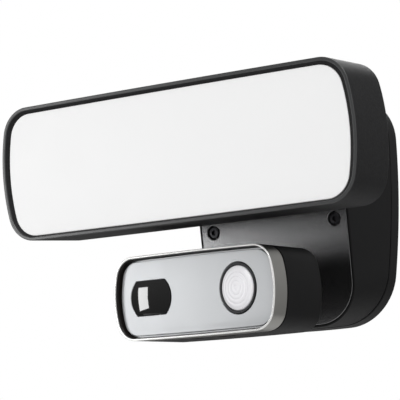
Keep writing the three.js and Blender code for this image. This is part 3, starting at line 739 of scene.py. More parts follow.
# ---------------------------------------------------------------- repeated pieces
class Scatter:
    """Geometry Nodes tree that stands one part on every anchor point."""

    SOCKETS = (
        ("Anchors", "NodeSocketGeometry"),
        ("Part", "NodeSocketObject"),
        ("Facing", "NodeSocketVector"),
        ("Turn Range", "NodeSocketFloat"),
        ("Turn Seed", "NodeSocketInt"),
        ("Finish", "NodeSocketMaterial"),
    )

    def __init__(self) -> None:
        """Builds the tree with its named inputs."""
        self.tree = bpy.data.node_groups.new("Scatter Parts", "GeometryNodeTree")
        face = self.tree.interface
        self.inputs = {name: face.new_socket(name, in_out="INPUT", socket_type=kind).identifier
                       for name, kind in self.SOCKETS}
        face.new_socket("Parts", in_out="OUTPUT", socket_type="NodeSocketGeometry")
        self._wire()

    def _wire(self) -> None:
        """Builds the tree: random turn, instance, realize, set material."""
        graph = Graph(self.tree)
        given = graph.add("NodeGroupInput").outputs
        low = graph.add("ShaderNodeMath", {0: given["Turn Range"], 1: -1.0}, operation="MULTIPLY")
        chance = graph.add("FunctionNodeRandomValue", {"Seed": given["Turn Seed"]},
                           data_type="FLOAT")
        least, most = [s for s in chance.inputs if s.type == "VALUE"][:2]
        self.tree.links.new(low.outputs[0], least)
        self.tree.links.new(given["Turn Range"], most)
        turn = next(s for s in chance.outputs if s.type == "VALUE")
        spin = graph.add("ShaderNodeCombineXYZ", {"Z": turn})
        own = graph.add("FunctionNodeEulerToRotation", {0: spin.outputs[0]})
        faced = graph.add("FunctionNodeEulerToRotation", {0: given["Facing"]})
        both = graph.add("FunctionNodeRotateRotation", {
            "Rotation": faced.outputs[0], "Rotate By": own.outputs[0],
        }, rotation_space="LOCAL")
        part = graph.add("GeometryNodeObjectInfo", {"Object": given["Part"]})
        stand = graph.add("GeometryNodeInstanceOnPoints", {
            "Points": given["Anchors"], "Instance": part.outputs["Geometry"],
            "Rotation": both.outputs[0],
        })
        real = graph.add("GeometryNodeRealizeInstances", {0: stand.outputs[0]})
        paint = graph.add("GeometryNodeSetMaterial", {
            "Geometry": real.outputs[0], "Material": given["Finish"],
        })
        graph.add("NodeGroupOutput", {0: paint.outputs[0]})

    def stand(self, name: str, seat: Seat, anchors: Iterable[Sequence[float]],
              part: Piece, material: bpy.types.Material, backward: bool = False,
              turn_range: float = 0.0, seed: int = 1) -> Piece:
        """Stands copies of a part on anchors and returns them as one plain mesh.

        Args:
            name: The new object's name.
            seat: The sub-assembly the anchors are given in.
            anchors: Places in the seat's millimetres.
            part: The part, modelled at the origin; it is removed afterwards.
            material: The copies' material.
            backward: Whether the copies face the seat's rear.
            turn_range: Largest random turn about each copy's axis, in radians.
            seed: Seed of the random turns.

        Returns:
            One object holding every copy.
        """
        mesh = bpy.data.meshes.new(name)
        mesh.from_pydata([seat.matrix @ Vector(a) for a in anchors], [], [])
        thing = placed(name, mesh)
        turn = seat.turn @ Matrix.Rotation(math.pi, 4, "Y") if backward else seat.turn
        modifier = thing.modifiers.new("Scatter", "NODES")
        modifier.node_group = self.tree
        modifier[self.inputs["Part"]] = part
        modifier[self.inputs["Facing"]] = tuple(turn.to_euler())
        modifier[self.inputs["Turn Range"]] = turn_range
        modifier[self.inputs["Turn Seed"]] = seed
        modifier[self.inputs["Finish"]] = material
        plain_mesh(thing)
        bpy.data.objects.remove(part)
        return thing


UPRIGHT = Seat(-90.0, 0.0, 0.0)


@dataclass(frozen=True)
class Screw:
    """Socket screw along z, the top of its head at the origin."""

    head: float
    head_height: float
    shank: float
    length: float

    def part(self) -> Piece:
        """Models the screw at the origin, pointing along +z.

        Returns:
            The screw.
        """
        body = Draft(UPRIGHT).sweep(Disc(self.head, 10), [
            Knee(self.head - 0.2, -self.length),
            Knee(self.head - self.shank, -self.length + 0.8),
            Knee(self.head - self.shank, -self.head_height),
            Knee(0.0, -self.head_height, 0.15),
            Knee(0.0, 0.0, min(0.7, self.head_height * 0.4)),
            Knee(self.head * 0.46, 0.0),
        ]).write("screw")
        socket = Draft(UPRIGHT).sweep(Hexagon(self.head * 0.5), [
            Knee(0.0, -self.head_height * 0.65), Knee(0.0, -0.12), Knee(-0.4, 0.3),
        ]).write("socket")
        return carve(body, socket, Cut.REMOVE)


# ---------------------------------------------------------------------- workshop
class Workshop:
    SHARP = math.radians(32)

    def __init__(self) -> None:
        """Lays out the finishes and the scatter tree."""
        self.palette = Palette()
        self.scatter = Scatter()

    def bevel(self, thing: Piece, width: float, segments: int = 3) -> None:
        """Rounds a piece's edges with a live bevel.

        Args:
            thing: The piece.
            width: The rounding in millimetres.
            segments: Its segments.
        """
        modifier = thing.modifiers.new("Rounded Edges", "BEVEL")
        modifier.width = width * METRES
        modifier.segments = segments
        modifier.limit_method = "ANGLE"
        modifier.angle_limit = self.SHARP
        modifier.use_clamp_overlap = True
        modifier.harden_normals = True

    def smooth(self, thing: Piece) -> None:
        """Shades a mesh smooth and keeps its real edges sharp."""
        thing.data.shade_smooth()
        thing.data.set_sharp_from_angle(angle=self.SHARP)

    def fit(self, thing: Piece, body: Body, finish: Finish,
            stands_for: Sequence[str], bevel: float = 0.0) -> Piece:
        """Paints a piece and fixes it to its body.

        Args:
            thing: The piece.
            body: The body it rides on.
            finish: Its main finish.
            stands_for: The frame's nodes that it replaces.
            bevel: Edge rounding in millimetres, or 0.

        Returns:
            The piece.
        """
        if not thing.data.materials:
            thing.data.materials.append(self.palette.material(finish))
        self.smooth(thing)
        if bevel:
            self.bevel(thing, bevel)
        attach(thing, body.value)
        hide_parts(*stands_for)
        log.info("fitted %s on %s for %s", thing.name, body.value, ", ".join(stands_for))
        return thing

    def screws(self, kind: str, body: Body, seat: Seat, places: Iterable[Sequence[float]],
               screw: Screw, seed: int, backward: bool = False) -> None:
        """Stands a set of screws, each turned a little, for the nodes KIND_screw_1 to 4.

        Args:
            kind: What the screws hold: cover, lamp or camera.
            body: The body they ride on.
            seat: The sub-assembly their places are given in.
            places: The tops of their heads, in the seat's millimetres.
            screw: Their sizes.
            seed: Seed of their turns.
            backward: Whether they are driven from the seat's rear.
        """
        heads = list(places)
        self.fit(self.scatter.stand(
            f"{kind}_screws", seat, heads, screw.part(), self.palette.material(FINISH.steel),
            backward, turn_range=0.6, seed=seed,
        ), body, FINISH.steel, [f"{kind}_screw_{i + 1}" for i in range(len(heads))])

    def paint(self, thing: Piece, seat: Seat, finishes: Sequence[Finish],
              rule: Callable[[Vector, Vector], int]) -> None:
        """Gives faces their finish by a rule on their centre and normal.

        Args:
            thing: The piece.
            seat: Whose millimetres and directions the rule is given in.
            finishes: The finishes to choose from.
            rule: Gives a finish's index for a face's centre and normal.
        """
        thing.data.materials.clear()
        for finish in finishes:
            thing.data.materials.append(self.palette.material(finish))
        back = seat.matrix.inverted()
        unturn = seat.turn.inverted()
        for face in thing.data.polygons:
            face.material_index = rule(back @ face.center, unturn @ face.normal)

    def keep(self, node: str, finish: Finish, bevel: float = 0.0) -> None:
        """Finishes a node of the frame that stays as it is.

        Args:
            node: The node's name.
            finish: Its finish.
            bevel: Edge rounding in millimetres, or 0.
        """
        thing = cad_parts[node]
        thing.data.materials.clear()
        thing.data.materials.append(self.palette.material(finish))
        if bevel:
            thing.modifiers.new("Weld", "WELD").merge_threshold = 0.00001
            planar = thing.modifiers.new("Planar", "DECIMATE")
            planar.decimate_type = "DISSOLVE"
            planar.angle_limit = math.radians(1)
            self.bevel(thing, bevel, 2)
        log.info("kept %s as %s", node, finish.name)


# --------------------------------------------------------------------- wall unit
PLATE = Bowed(56.7, 74.9, 5.4, 2.0, 33.5)
FRONT = Bowed(54.7, 79.5, 1.1, 1.0, 27.0)


@dataclass(frozen=True)
class WallSizes:
    """Sizes of the wall plate, the wedge housing and its lower cover."""

    wall: float = 2.8
    plate_depth: float = 9.0
    plate_floor: float = 3.0
    seam: float = 1.6
    tilt: float = 12.0
    front_depth: float = 61.8
    front_rise: float = -3.15
    cover_top: float = -3.0
    cover_thick: float = 4.6
    cover_margin: float = 1.2
    entry_radius: float = 11.0
    entry_y: float = -26.0
    slot: Stadium = Stadium(6, 2)
    slot_x: float = 30.0
    floor_rim: float = 6.0
    ledge: float = 3.0
    screw_edge: float = 8.9
    upper_screw_drop: float = 2.4
    lower_screw_rise: float = 3.0
    lower_screw_x: float = 22.0
    bore: float = 4.5
    sink: float = 3.2


class WallUnit:
    """Wall plate, wedge housing and lower cover."""

    def __init__(self, shop: Workshop, sizes: WallSizes = WallSizes()) -> None:
        """Places the wall plate, the slope and the cover on it.

        Args:
            shop: The workshop that fits the pieces.
            sizes: The sizes.
        """
        self.shop = shop
        self.sizes = sizes
        self.wall = Seat(0.0, 0.0, 0.0)
        self.slope = Seat(sizes.tilt, -sizes.front_depth, sizes.front_rise)
        self.cover = FRONT.inset(sizes.cover_margin + GAP)

    @property
    def screw_places(self) -> list[Point]:
        """Centres of the cover's four screws on the slope.

        Returns:
            Their x and y.
        """
        s = self.sizes
        top_x = self.cover.half_width - s.screw_edge
        top_y = s.cover_top - s.screw_edge - s.upper_screw_drop
        low_y = -self.cover.half_height + s.screw_edge + s.lower_screw_rise
        return [(top_x, top_y), (-top_x, top_y), (s.lower_screw_x, low_y),
                (-s.lower_screw_x, low_y)]

    def build(self) -> None:
        """Builds the wall unit's surfaces."""
        self.plate()
        self.housing()
        self.lower_cover()
        self.screws()

    def plate(self) -> None:
        """Shallow tray against the wall with a cable entry and two fixing slots."""
        s = self.sizes
        tray = Draft(self.wall).sweep(PLATE, [
            Knee(s.wall + s.floor_rim, s.plate_floor), Knee(s.wall, s.plate_floor, 0.8),
            Knee(s.wall, s.plate_depth, 0.3), Knee(0, s.plate_depth, 0.7), Knee(0, 0, 1.0),
            Knee(s.wall + s.floor_rim, 0),
        ]).write("wall_plate_tray")
        cuts = Draft(self.wall).prism(Disc(s.entry_radius), -1, s.plate_floor + 1, 0, s.entry_y)
        for side in (-1, 1):
            cuts.prism(s.slot, -1, s.plate_floor + 1, side * s.slot_x, 0)
        carve(tray, cuts.write("plate_cuts"), Cut.REMOVE)
        self.shop.fit(tray, Body.WALL, FINISH.plate, ["wall_plate"])

    def on_slope(self, point: Vector) -> Vector:
        """Gives a point of the slope in the wall's directions."""
        return self.wall.matrix.inverted() @ self.slope.matrix @ point

    def wedge(self, inset: float, back: float, name: str, edge: float = 0.0) -> Piece:
        """Makes the solid between the plate's outline and the sloping front.

        Args:
            inset: How far it lies inside the housing's outside.
            back: Height of its rear face over the wall.
            name: Its name.
            edge: Rounding of its front edge, or 0.

        Returns:
            The solid.
        """
        root = PLATE.inset(inset)
        front = FRONT.inset(inset)
        rings = [[Vector((x, y, back)) for x, y in root.points()]]
        steps = 5 if edge else 0
        for i in range(steps + 1):
            angle = math.pi / 2 * i / max(steps, 1)
            shrink = edge * (1 - math.cos(angle))
            drop = edge * (1 - math.sin(angle))
            rings.append([self.on_slope(Vector((x, y, -inset - drop)))
                          for x, y in front.inset(shrink).points()])
        return Draft(self.wall).rings(rings).write(name)

    def lower_part(self, outline: Bowed, top: float, low: float, high: float,
                   name: str) -> Piece:
        """Makes the lower part of an outline on the slope.

        Args:
            outline: The outline.
            top: Height of its straight top edge.
            low: Depth of its rear face.
            high: Depth of its front face.
            name: Its name.

        Returns:
            The solid.
        """
        whole = Draft(self.slope).prism(outline, low, high).write(name)
        keep = Draft(self.slope).block((-200, -300, low - 50), (200, top, high + 50)).write("keep")
        return carve(whole, keep, Cut.KEEP_SHARED)

    def housing(self) -> None:
        """Hollow wedge with a recess for the lower cover."""
        s = self.sizes
        back = s.plate_depth + s.seam
        floor = -s.cover_thick - 1 - 2 * GAP
        shell = self.wedge(0.0, back, "housing_shell", edge=0.9)
        hollow = self.wedge(s.wall, back - 1, "hollow")
        ledge = self.lower_part(FRONT, s.cover_top + s.ledge, floor - s.ledge, 6.0, "ledge")
        carve(shell, carve(hollow, ledge, Cut.REMOVE), Cut.REMOVE)
        recess = self.lower_part(FRONT.inset(s.cover_margin), s.cover_top + GAP, floor, 5.0,
                                 "recess")
        carve(shell, recess, Cut.REMOVE)
        self.shop.fit(shell, Body.WALL, FINISH.shell, ["wall_housing"], bevel=0.35)

    def lower_cover(self) -> None:
        """Sanded lower cover with four counterbored holes."""
        s = self.sizes
        panel = self.lower_part(self.cover, s.cover_top, -s.cover_thick, 0.0, "cover_panel")
        holes = Draft(self.slope)
        for x, y in self.screw_places:
            holes.sweep(Disc(s.bore, 16), [Knee(0, -s.sink), Knee(0, 1)], x=x, y=y)
        carve(panel, holes.write("bores"), Cut.REMOVE)
        self.shop.fit(panel, Body.WALL, FINISH.cover, ["lower_cover"], bevel=0.55)

    def screws(self) -> None:
        """Four socket screws in the cover's counterbores."""
        screw = Screw(3.7, 2.4, 1.7, 14)
        top = -self.sizes.sink + GAP + screw.head_height
        self.shop.screws("cover", Body.WALL, self.slope,
                         [(x, y, top) for x, y in self.screw_places], screw, seed=4)


# --------------------------------------------------------------------- lamp head
@dataclass(frozen=True)
class LampSizes:
    """Sizes of the lamp head."""

    outline: Bowed = Bowed(125.0, 40.9, 7.0, 0.35, 18.6)
    depth: float = 43.3
    taper: float = 3.8
    corner_taper: float = 1.1
    lip: float = 1.8
    inset: float = 3.2
    ends: float = 4.6
    drop: float = 0.6
    recess: float = 1.3
    glass: float = 2.6
    seal: float = 1.6
    rest_thick: float = 3.0
    back: float = 3.0
    screw_x: float = 22.0
    screw_line: float = 5.0
    screw_out: float = 1.4
    cover_inset: float = 3.2
    wall: float = 2.8


class LampHead:
    """Wide shell with an opal diffuser in front and screws in its back cover."""

    def __init__(self, shop: Workshop, sizes: LampSizes = LampSizes()) -> None:
        """Places the lamp head.

        Args:
            shop: The workshop that fits the pieces.
            sizes: The sizes.
        """
        self.shop = shop
        self.sizes = sizes
        self.seat = Seat(9.6, -169.986, 5.538)
        self.pocket = sizes.recess + sizes.glass + sizes.seal

    def outline_at(self, height: float) -> Bowed:
        """The shell's outline at a height, narrower towards the back.

        Args:
            height: Millimetres out from the front, so below zero inside.

        Returns:
            The outline.
        """
        s = self.sizes
        share = min(max(-height / s.depth, 0.0), 1.0)
        return replace(s.outline, half_width=s.outline.half_width - s.taper * share,
                       corner=s.outline.corner - s.corner_taper * share)

    def opening(self, distance: float) -> list[Point]:
        """The diffuser's opening, moved inwards, which sits lower than the rim's middle."""
        s = self.sizes
        shape = replace(s.outline.inset(s.inset), half_width=s.outline.half_width - s.ends)
        return [(x, y - s.drop) for x, y in shape.inset(distance).points()]

    def ring_at(self, inset: float, height: float) -> list[Point]:
        """The shell's ring at an inset and a height: the rim, its bevel, or the opening.

        Args:
            inset: Millimetres in from the outside.
            height: Millimetres out from the front.

        Returns:
            The points of the ring.
        """
        s = self.sizes
        if height < -self.pocket - s.rest_thick - 0.5 or inset <= s.lip:
            return self.outline_at(height).inset(inset).points()
        if inset >= s.inset:
            return self.opening(inset - s.inset)
        share = (inset - s.lip) / (s.inset - s.lip)
        rim = s.outline.inset(s.lip).points()
        return [(ax + (bx - ax) * share, ay + (by - ay) * share)
                for (ax, ay), (bx, by) in zip(rim, self.opening(0.0))]

    def build(self) -> None:
        """Builds the lamp head's surfaces."""
        self.shell()
        self.diffuser()
        self.screws()

    def shell(self) -> None:
        """Thick-lipped shell, open in front and behind."""
        s = self.sizes
        seat, under, rear = -self.pocket, -self.pocket - s.rest_thick, -s.depth
        rest, ledge, flange = s.inset + 3, s.cover_inset + 7, rear + s.back
        shell = Draft(self.seat).sweep(self.ring_at, [
            Knee(0, 0, 0.45), Knee(s.lip, 0, 0.25), Knee(s.lip + 0.2, -0.35),
            Knee(s.inset, -s.recess, 0.3), Knee(s.inset, seat), Knee(rest, seat, 0.3),
            Knee(rest, under), Knee(s.wall, under - 1), Knee(s.wall, flange + 2),
            Knee(ledge, flange + 2), Knee(ledge, flange), Knee(s.cover_inset, flange),
            Knee(s.cover_inset, rear, 0.3), Knee(0, rear, 1.3),
        ], closed=True).write("lamp_shell_body")
        # The front lip's faces take the rim finish, whose lighter colour is a painted highlight.
        rim_highlight_depth = 0.3
        self.shop.paint(shell, self.seat, (FINISH.lamp, FINISH.rim),
                        lambda centre, _normal: int(centre.z > -rim_highlight_depth))
        self.shop.fit(shell, Body.LAMP, FINISH.lamp, ["lamp_shell"])

    def diffuser(self) -> None:
        """Opal window with a soft pillowed rim."""
        s = self.sizes
        top = -s.recess
        pane = Draft(self.seat).sweep(lambda inset, _height: self.opening(inset + GAP), [
            Knee(6, top - s.glass), Knee(0, top - s.glass, 0.2), Knee(0, top, 0.3),
            Knee(16, top + 0.15, 2.0), Knee(30, top + 0.2),
        ]).write("opal_pane")
        self.shop.fit(pane, Body.LAMP, FINISH.opal, ["lamp_diffuser"])

    def screws(self) -> None:
        """Four screws that hold the back cover."""
        s = self.sizes
        screw = Screw(3.0, 2.4, 1.7, 7)
        line = self.outline_at(-s.depth).inset(s.cover_inset + s.screw_line)
        places = [(sx * (line.half_width - s.screw_x), sy * (line.half_height + s.screw_out),
                   -s.depth - GAP - screw.head_height) for sx in (-1, 1) for sy in (-1, 1)]
        self.shop.screws("lamp", Body.LAMP, self.seat, places, screw, seed=7, backward=True)


# ----------------------------------------------------------------- camera module
@dataclass(frozen=True)
class CameraSizes:
    """Sizes of the camera module."""

    outline: Bowed = Bowed(56.8, 25.2, 5.3, 0.55, 12.8)
    depth: float = 52.4
    band: float = 13.6
    edge: float = 1.05
    lip: float = 1.8
    recess: float = 4.0
    groove: float = 1.2
    face_thick: float = 2.0
    wall: float = 2.4
    rear_wall: float = 2.8
    flange: float = 2.4
    lens_x: float = -32.3
    lens_radius: float = 14.6
    lens_flat: float = 10.3
    lens_thick: float = 2.4
    pir_x: float = 29.4
    pir_y: float = 0.75
    pir_dome: float = 11.15
    pir_band: float = 1.2
    pir_tall: float = 1.19
    post_x: float = 12.3
    post_y: float = 8.6
    speaker_x: float = -22.0
    lug_width: float = 12.0
    lug_thick: float = 4.0
    lug_radius: float = 7.2
    lug_reach: float = 10.7
    lug_bore: float = 2.8


@dataclass(frozen=True)
class Port:
    """Slot in the module's underside with a rubber plug in it."""

    name: str
    body: Body
    node: str
    x: float
    depth: float
    width: float
    height: float = 3.0


PORTS = (
    Port("reset_button_cap", Body.BUTTON, "reset_button", -13.0, 22.0, 8.4),
    Port("card_cover_plug", Body.CAMERA, "card_cover", 8.2, 22.0, 12.6),
)


class CameraModule:
    """Silver-banded module with a black lens window and a motion-sensor dome."""

    GRILLE = ((0.0, 1), (3.2, 6), (6.5, 12), (9.6, 18))  # radius and holes of each ring

    def __init__(self, shop: Workshop, sizes: CameraSizes = CameraSizes()) -> None:
        """Places the camera module.

        Args:
            shop: The workshop that fits the pieces.
            sizes: The sizes.
        """
        self.shop = shop
        self.sizes = sizes
        self.seat = Seat(6.7, -143.722, -72.362)

    def build(self) -> None:
        """Builds the camera module's surfaces."""
        self.bezel()
        self.face()
        self.window()
        self.sensor()
        self.shell()
        self.screws()
        for port in PORTS:
            self.plug(port)

    def bezel(self) -> None:
        """Silver band with a polished front edge, partly a painted highlight, and painted shade on
        its inner wall.
        """
        s = self.sizes
        floor = s.recess + s.face_thick + s.flange + GAP
        band = Draft(self.seat).sweep(s.outline, [
            Knee(0, 0, 0.45), Knee(s.edge, 0, 0.25), Knee(s.edge + 0.2, -0.6),
            Knee(s.lip, -s.recess), Knee(s.lip, -floor),
            Knee(s.lip + 3.2, -floor), Knee(s.lip + 3.2, -s.band),
            Knee(0, -s.band, 0.4),
        ], closed=True).write("camera_band")

        def rule(centre: Vector, normal: Vector) -> int:
            """Gives a face's finish by its centre and normal: 0 satin, 1 edge with its painted
            highlight, 2 inner wall with painted shade.
            """
            # The front faces take the polished edge finish, whose near-white colour is partly a
            # painted highlight.
            if centre.z > -0.45:
                return 1
            inner = s.outline.inset(s.edge - 0.2)
            inside = abs(centre.x) < inner.half_width and abs(centre.y) < inner.half_height
            inwards = normal.x * centre.x + normal.y * centre.y < 0
            # Inward faces inside the edge take the groove finish: painted shade on the inner wall.
            return 2 if inside and inwards else 0

        self.shop.paint(band, self.seat, (FINISH.satin, FINISH.polished, FINISH.groove), rule)
        self.shop.fit(band, Body.CAMERA, FINISH.satin, ["camera_bezel"])

    def window_outline(self) -> CutDisc:
        """The lens opening in the face plate."""
        s = self.sizes
        return CutDisc(s.lens_radius, s.lens_flat, 1.3)

    def face(self) -> None:
        """Silver face plate with openings for the lens and the motion sensor."""
        s = self.sizes
        top, back = -s.recess, -s.recess - s.face_thick
        plate = Draft(self.seat).sweep(s.outline.inset(s.lip + GAP), [
            Knee(8, back - s.flange), Knee(0, back - s.flange), Knee(0, back),
            Knee(s.groove - GAP, back), Knee(s.groove - GAP, top, 0.3), Knee(8, top),
        ]).write("face_panel")
        holes = Draft(self.seat)
        holes.sweep(self.window_outline(), [
            Knee(0, back - 4), Knee(0, top - 0.35), Knee(-0.35, top), Knee(-0.35, top + 1),
        ], x=s.lens_x)
        holes.sweep(Disc(s.pir_dome + s.pir_band + GAP, tall=s.pir_tall), [
            Knee(0, back - 4), Knee(0, top - 0.3), Knee(-0.3, top), Knee(-0.3, top + 1),
        ], x=s.pir_x, y=s.pir_y)
        carve(plate, holes.write("openings"), Cut.REMOVE)
        self.shop.fit(plate, Body.CAMERA, FINISH.face, ["face_plate"])

    def window(self) -> None:
        """Slightly domed black glass over the lens."""
        s = self.sizes
        top = -s.recess + 0.1
        pane = self.window_outline().inset(GAP)
        rise = 1.5
        edge = pane.points()

        def cap(x: float, y: float) -> float:
            """Height of the glass's crown."""
            return top + rise * (1 - (x * x + y * y) / s.lens_radius**2)

        rings = [[Vector((x + s.lens_x, y, -s.recess - s.lens_thick)) for x, y in edge]]
        for step in range(14):
            share = 1 - step / 14
            rings.append([Vector((x * share + s.lens_x, y * share, cap(x * share, y * share)))
                          for x, y in edge])
        glass = Draft(self.seat).rings(rings).write("lens_glass")
        self.shop.fit(glass, Body.CAMERA, FINISH.glass, ["lens_window"])

    def sensor(self) -> None:
        """Dark ring and the white dome with its stepped lens rings."""
        s = self.sizes
        top, back = -s.recess, -s.recess - s.face_thick
        width = s.pir_band
        ring = Draft(self.seat).sweep(Disc(s.pir_dome + width, tall=s.pir_tall), [
            Knee(0, back), Knee(0, top + 0.6, 0.3), Knee(width, top + 0.6, 0.3), Knee(width, back),
        ], closed=True, x=s.pir_x, y=s.pir_y).write("sensor_ring")
        self.shop.fit(ring, Body.CAMERA, FINISH.ring, ["pir_ring"])
        self.shop.fit(self.dome(), Body.CAMERA, FINISH.dome, ["pir_dome"])

    def dome(self) -> Piece:
        """Low dome whose face steps in rings like a Fresnel lens.

        Returns:
            The dome.
        """
        s = self.sizes
        radius, rise, rings = s.pir_dome - GAP, 2.6, 4
        top = -s.recess

        def crown(distance: float) -> float:
            """Height of the dome's crown at a distance from its middle."""
            return top + rise * math.sqrt(max(1 - (distance / radius) ** 2, 0.0))

        section = [Knee(radius - 0.05, top - 0.8), Knee(1.2, top - 0.8),
                   Knee(1.2, top - s.face_thick), Knee(0, top - s.face_thick), Knee(0, top)]
        section += [Knee(radius - radius * math.cos(a), top + rise * math.sin(a))
                    for a in (0.12, 0.25, 0.4)]
        limit = radius * math.cos(0.4)
        for i in range(rings):
            outer = limit * (1 - i / (rings + 0.6)) - 0.2
            inner = limit * (1 - (i + 1) / (rings + 0.6))
            for share in (0.0, 0.25, 0.5, 0.75, 1.0):
                at = outer + (inner - outer) * share
                bulge = 0.22 * math.sin(math.pi * share)
                section.append(Knee(radius - at, crown(at) - 0.12 + bulge))
            section.append(Knee(radius - inner + 0.15, crown(inner) - 0.4))
        section.append(Knee(radius - 0.05, crown(0.0) - 0.05))
        return Draft(self.seat).sweep(Disc(radius, tall=s.pir_tall), section, x=s.pir_x,
                                      y=s.pir_y).write("sensor_dome")

    def shell(self) -> None:
        """Black rear body with hinge lugs, speaker holes and its ports underneath."""
        s = self.sizes
        rear, inner, front = -s.depth, -s.depth + s.rear_wall, -s.band - 1
        body = Draft(self.seat).sweep(s.outline, [
            Knee(0, front, 0.5), Knee(0, rear, 2.0), Knee(12, rear), Knee(12, inner),
            Knee(s.wall, inner, 0.5), Knee(s.wall, front),
        ], closed=True).write("camera_body")
        middle = Draft(self.seat).prism(s.outline.inset(11), rear, inner).write("rear_wall")
        carve(body, middle, Cut.JOIN)
        carve(body, self.lugs(), Cut.JOIN)
        carve(body, self.rear_holes(), Cut.REMOVE)
        cuts = Draft(self.seat)
        for port in PORTS:
            cuts.prism(Stadium(port.width / 2 + GAP, port.height / 2 + GAP), -4, 4,
                       place=self.underside(port, s.outline.half_height - 1))
        carve(body, cuts.write("ports"), Cut.REMOVE)
        self.shop.fit(body, Body.CAMERA, FINISH.shell, ["camera_shell"])

    def lugs(self) -> Piece:
        """Pair of rounded lugs behind the module.

        Returns:
            The pair with its bore.
        """
        s = self.sizes
        draft = Draft(self.seat)
        axis = -s.depth - s.lug_reach
        foot = [(-s.lug_radius, -s.lug_reach - 1), (s.lug_radius, -s.lug_reach - 1)]
        profile = [(s.lug_radius, 0.0), *arc(0.0, 0.0, s.lug_radius, 0.0, math.pi, 24), *foot]
        for low in (s.lug_width / 2 + GAP, -s.lug_width / 2 - GAP - s.lug_thick):
            draft.rings([[Vector((across, x, axis - y)) for x, y in profile]
                         for across in (low, low + s.lug_thick)])
        crossways = Matrix.Translation((0, 0, axis)) @ Matrix.Rotation(math.pi / 2, 4, "Y")
        bore = Draft(self.seat).prism(Disc(s.lug_bore, 8), -40, 40, place=crossways)
        return carve(draft.write("lugs"), bore.write("bore"), Cut.REMOVE)

    def rear_holes(self) -> Piece:
        """Speaker holes and screw counterbores in the rear face, as one tool.

        Returns:
            The tool.
        """
        s = self.sizes
        rear = -s.depth
        hole = Draft(UPRIGHT).prism(Disc(0.9, 5), -5, 1.2).write("hole")
        places = [(s.speaker_x + reach * math.cos(turn), reach * math.sin(turn), rear)
                  for reach, count in self.GRILLE
                  for turn in (2 * math.pi * i / count for i in range(count))]
        grille = self.shop.scatter.stand("grille", self.seat, places, hole,
                                         self.shop.palette.material(FINISH.shell), backward=True)
        bores = Draft(self.seat)
        for x, y in self.post_places:
            bores.prism(Disc(3.2, 10), rear - 1, rear + 2, x, y)
        return carve(grille, bores.write("bores"), Cut.JOIN)

    @property
    def post_places(self) -> list[Point]:
        """Centres of the four screws in the rear face."""
        s = self.sizes
        return [(sx * (s.outline.half_width - s.post_x), sy * (s.outline.half_height - s.post_y))
                for sx, sy in ((1, 1), (-1, 1), (-1, -1), (1, -1))]

    def screws(self) -> None:
        """Four screws that hold the rear body to the band."""
        places = [(x, y, -self.sizes.depth + 0.1) for x, y in self.post_places]
        self.shop.screws("camera", Body.CAMERA, self.seat, places, Screw(2.8, 1.6, 1.2, 13),
                         seed=11, backward=True)

    @staticmethod
    def underside(port: Port, drop: float) -> Matrix:
        """Placement of a port's own directions, z into the module, on the underside."""
        return (Matrix.Translation((port.x, -drop, -port.depth))
                @ Matrix.Rotation(-math.pi / 2, 4, "X"))

    def plug(self, port: Port) -> None:
        """Rubber plug that sits a little inside its slot.

        Args:
            port: The slot it fills.
        """
        s = self.sizes
        sunk, collar = 0.4, -1.1
        inside = s.wall + GAP
        end = inside + sunk + 1.4
        plug = Draft(self.seat).sweep(Stadium(port.width / 2, port.height / 2), [
            Knee(0.6, sunk - 0.05), Knee(0, sunk, 0.3), Knee(0, inside), Knee(collar, inside),
            Knee(collar, end), Knee(0.6, end),
        ], place=self.underside(port, s.outline.half_height)).write(port.name)
        self.shop.fit(plug, port.body, FINISH.rubber, [port.node])


# ------------------------------------------------------------------ carried parts
@dataclass(frozen=True)
class Carried:
    """Nodes of the frame that are shown as they are, with their finish and edge rounding."""

    finish: Finish
    bevel: float
    nodes: tuple[str, ...]


CARRIED = (
    Carried(FINISH.rubber, 0.0, ("plate_seal", "cover_seal", "diffuser_seal", "camera_seal")),
    Carried(FINISH.rubber, 0.4, ("cable_grommet",)),
    Carried(FINISH.steel, 0.0, ("housing_screw_1", "housing_screw_2")),
    Carried(FINISH.steel, 0.3, ("lamp_pan_bolt", "camera_pan_bolt", "lamp_tilt_bolt",
                                "lamp_tilt_nut", "camera_tilt_bolt", "camera_tilt_nut")),
    Carried(FINISH.board, 0.0, ("driver_board", "sensor_board", "pir_board", "main_board",
                                "wifi_antenna")),
    Carried(FINISH.part, 0.6, ("driver_transformer",)),
    Carried(FINISH.part, 0.5, ("driver_capacitor",)),
    Carried(FINISH.part, 0.3, ("lens_barrel", "speaker")),
    Carried(FINISH.part, 0.2, ("reset_switch",)),
    Carried(FINISH.white, 0.4, ("terminal_block",)),
    Carried(FINISH.white, 0.0, ("reflector_tray", "led_board")),
    Carried(FINISH.alloy, 0.9, ("lamp_fork", "lamp_arm")),
    Carried(FINISH.alloy, 0.8, ("camera_fork", "camera_arm")),
    Carried(FINISH.alloy, 0.5, ("lamp_back_cover",)),
    Carried(FINISH.bare, 0.3, ("heat_spreader",)),
    Carried(FINISH.bare, 0.2, ("card_socket", "pir_sensor", "microphone")),
)


# ------------------------------------------------------------------------ studio
@dataclass(frozen=True)
class Softbox:
    """Area light: its place and target in metres, its size and power."""

    name: str
    place: Triple
    target: Triple
    width: float
    height: float
    power: float


@dataclass(frozen=True)
class Viewpoint:
    """Camera pose: angles in degrees, distance and aim in metres, lens in millimetres."""

    azimuth: float = 35.03
    elevation: float = -12.46
    roll: float = 1.163
    distance: float = 1.1938
    aim: Triple = (-0.00787, -0.12632, -0.01291)
    lens: float = 180.62


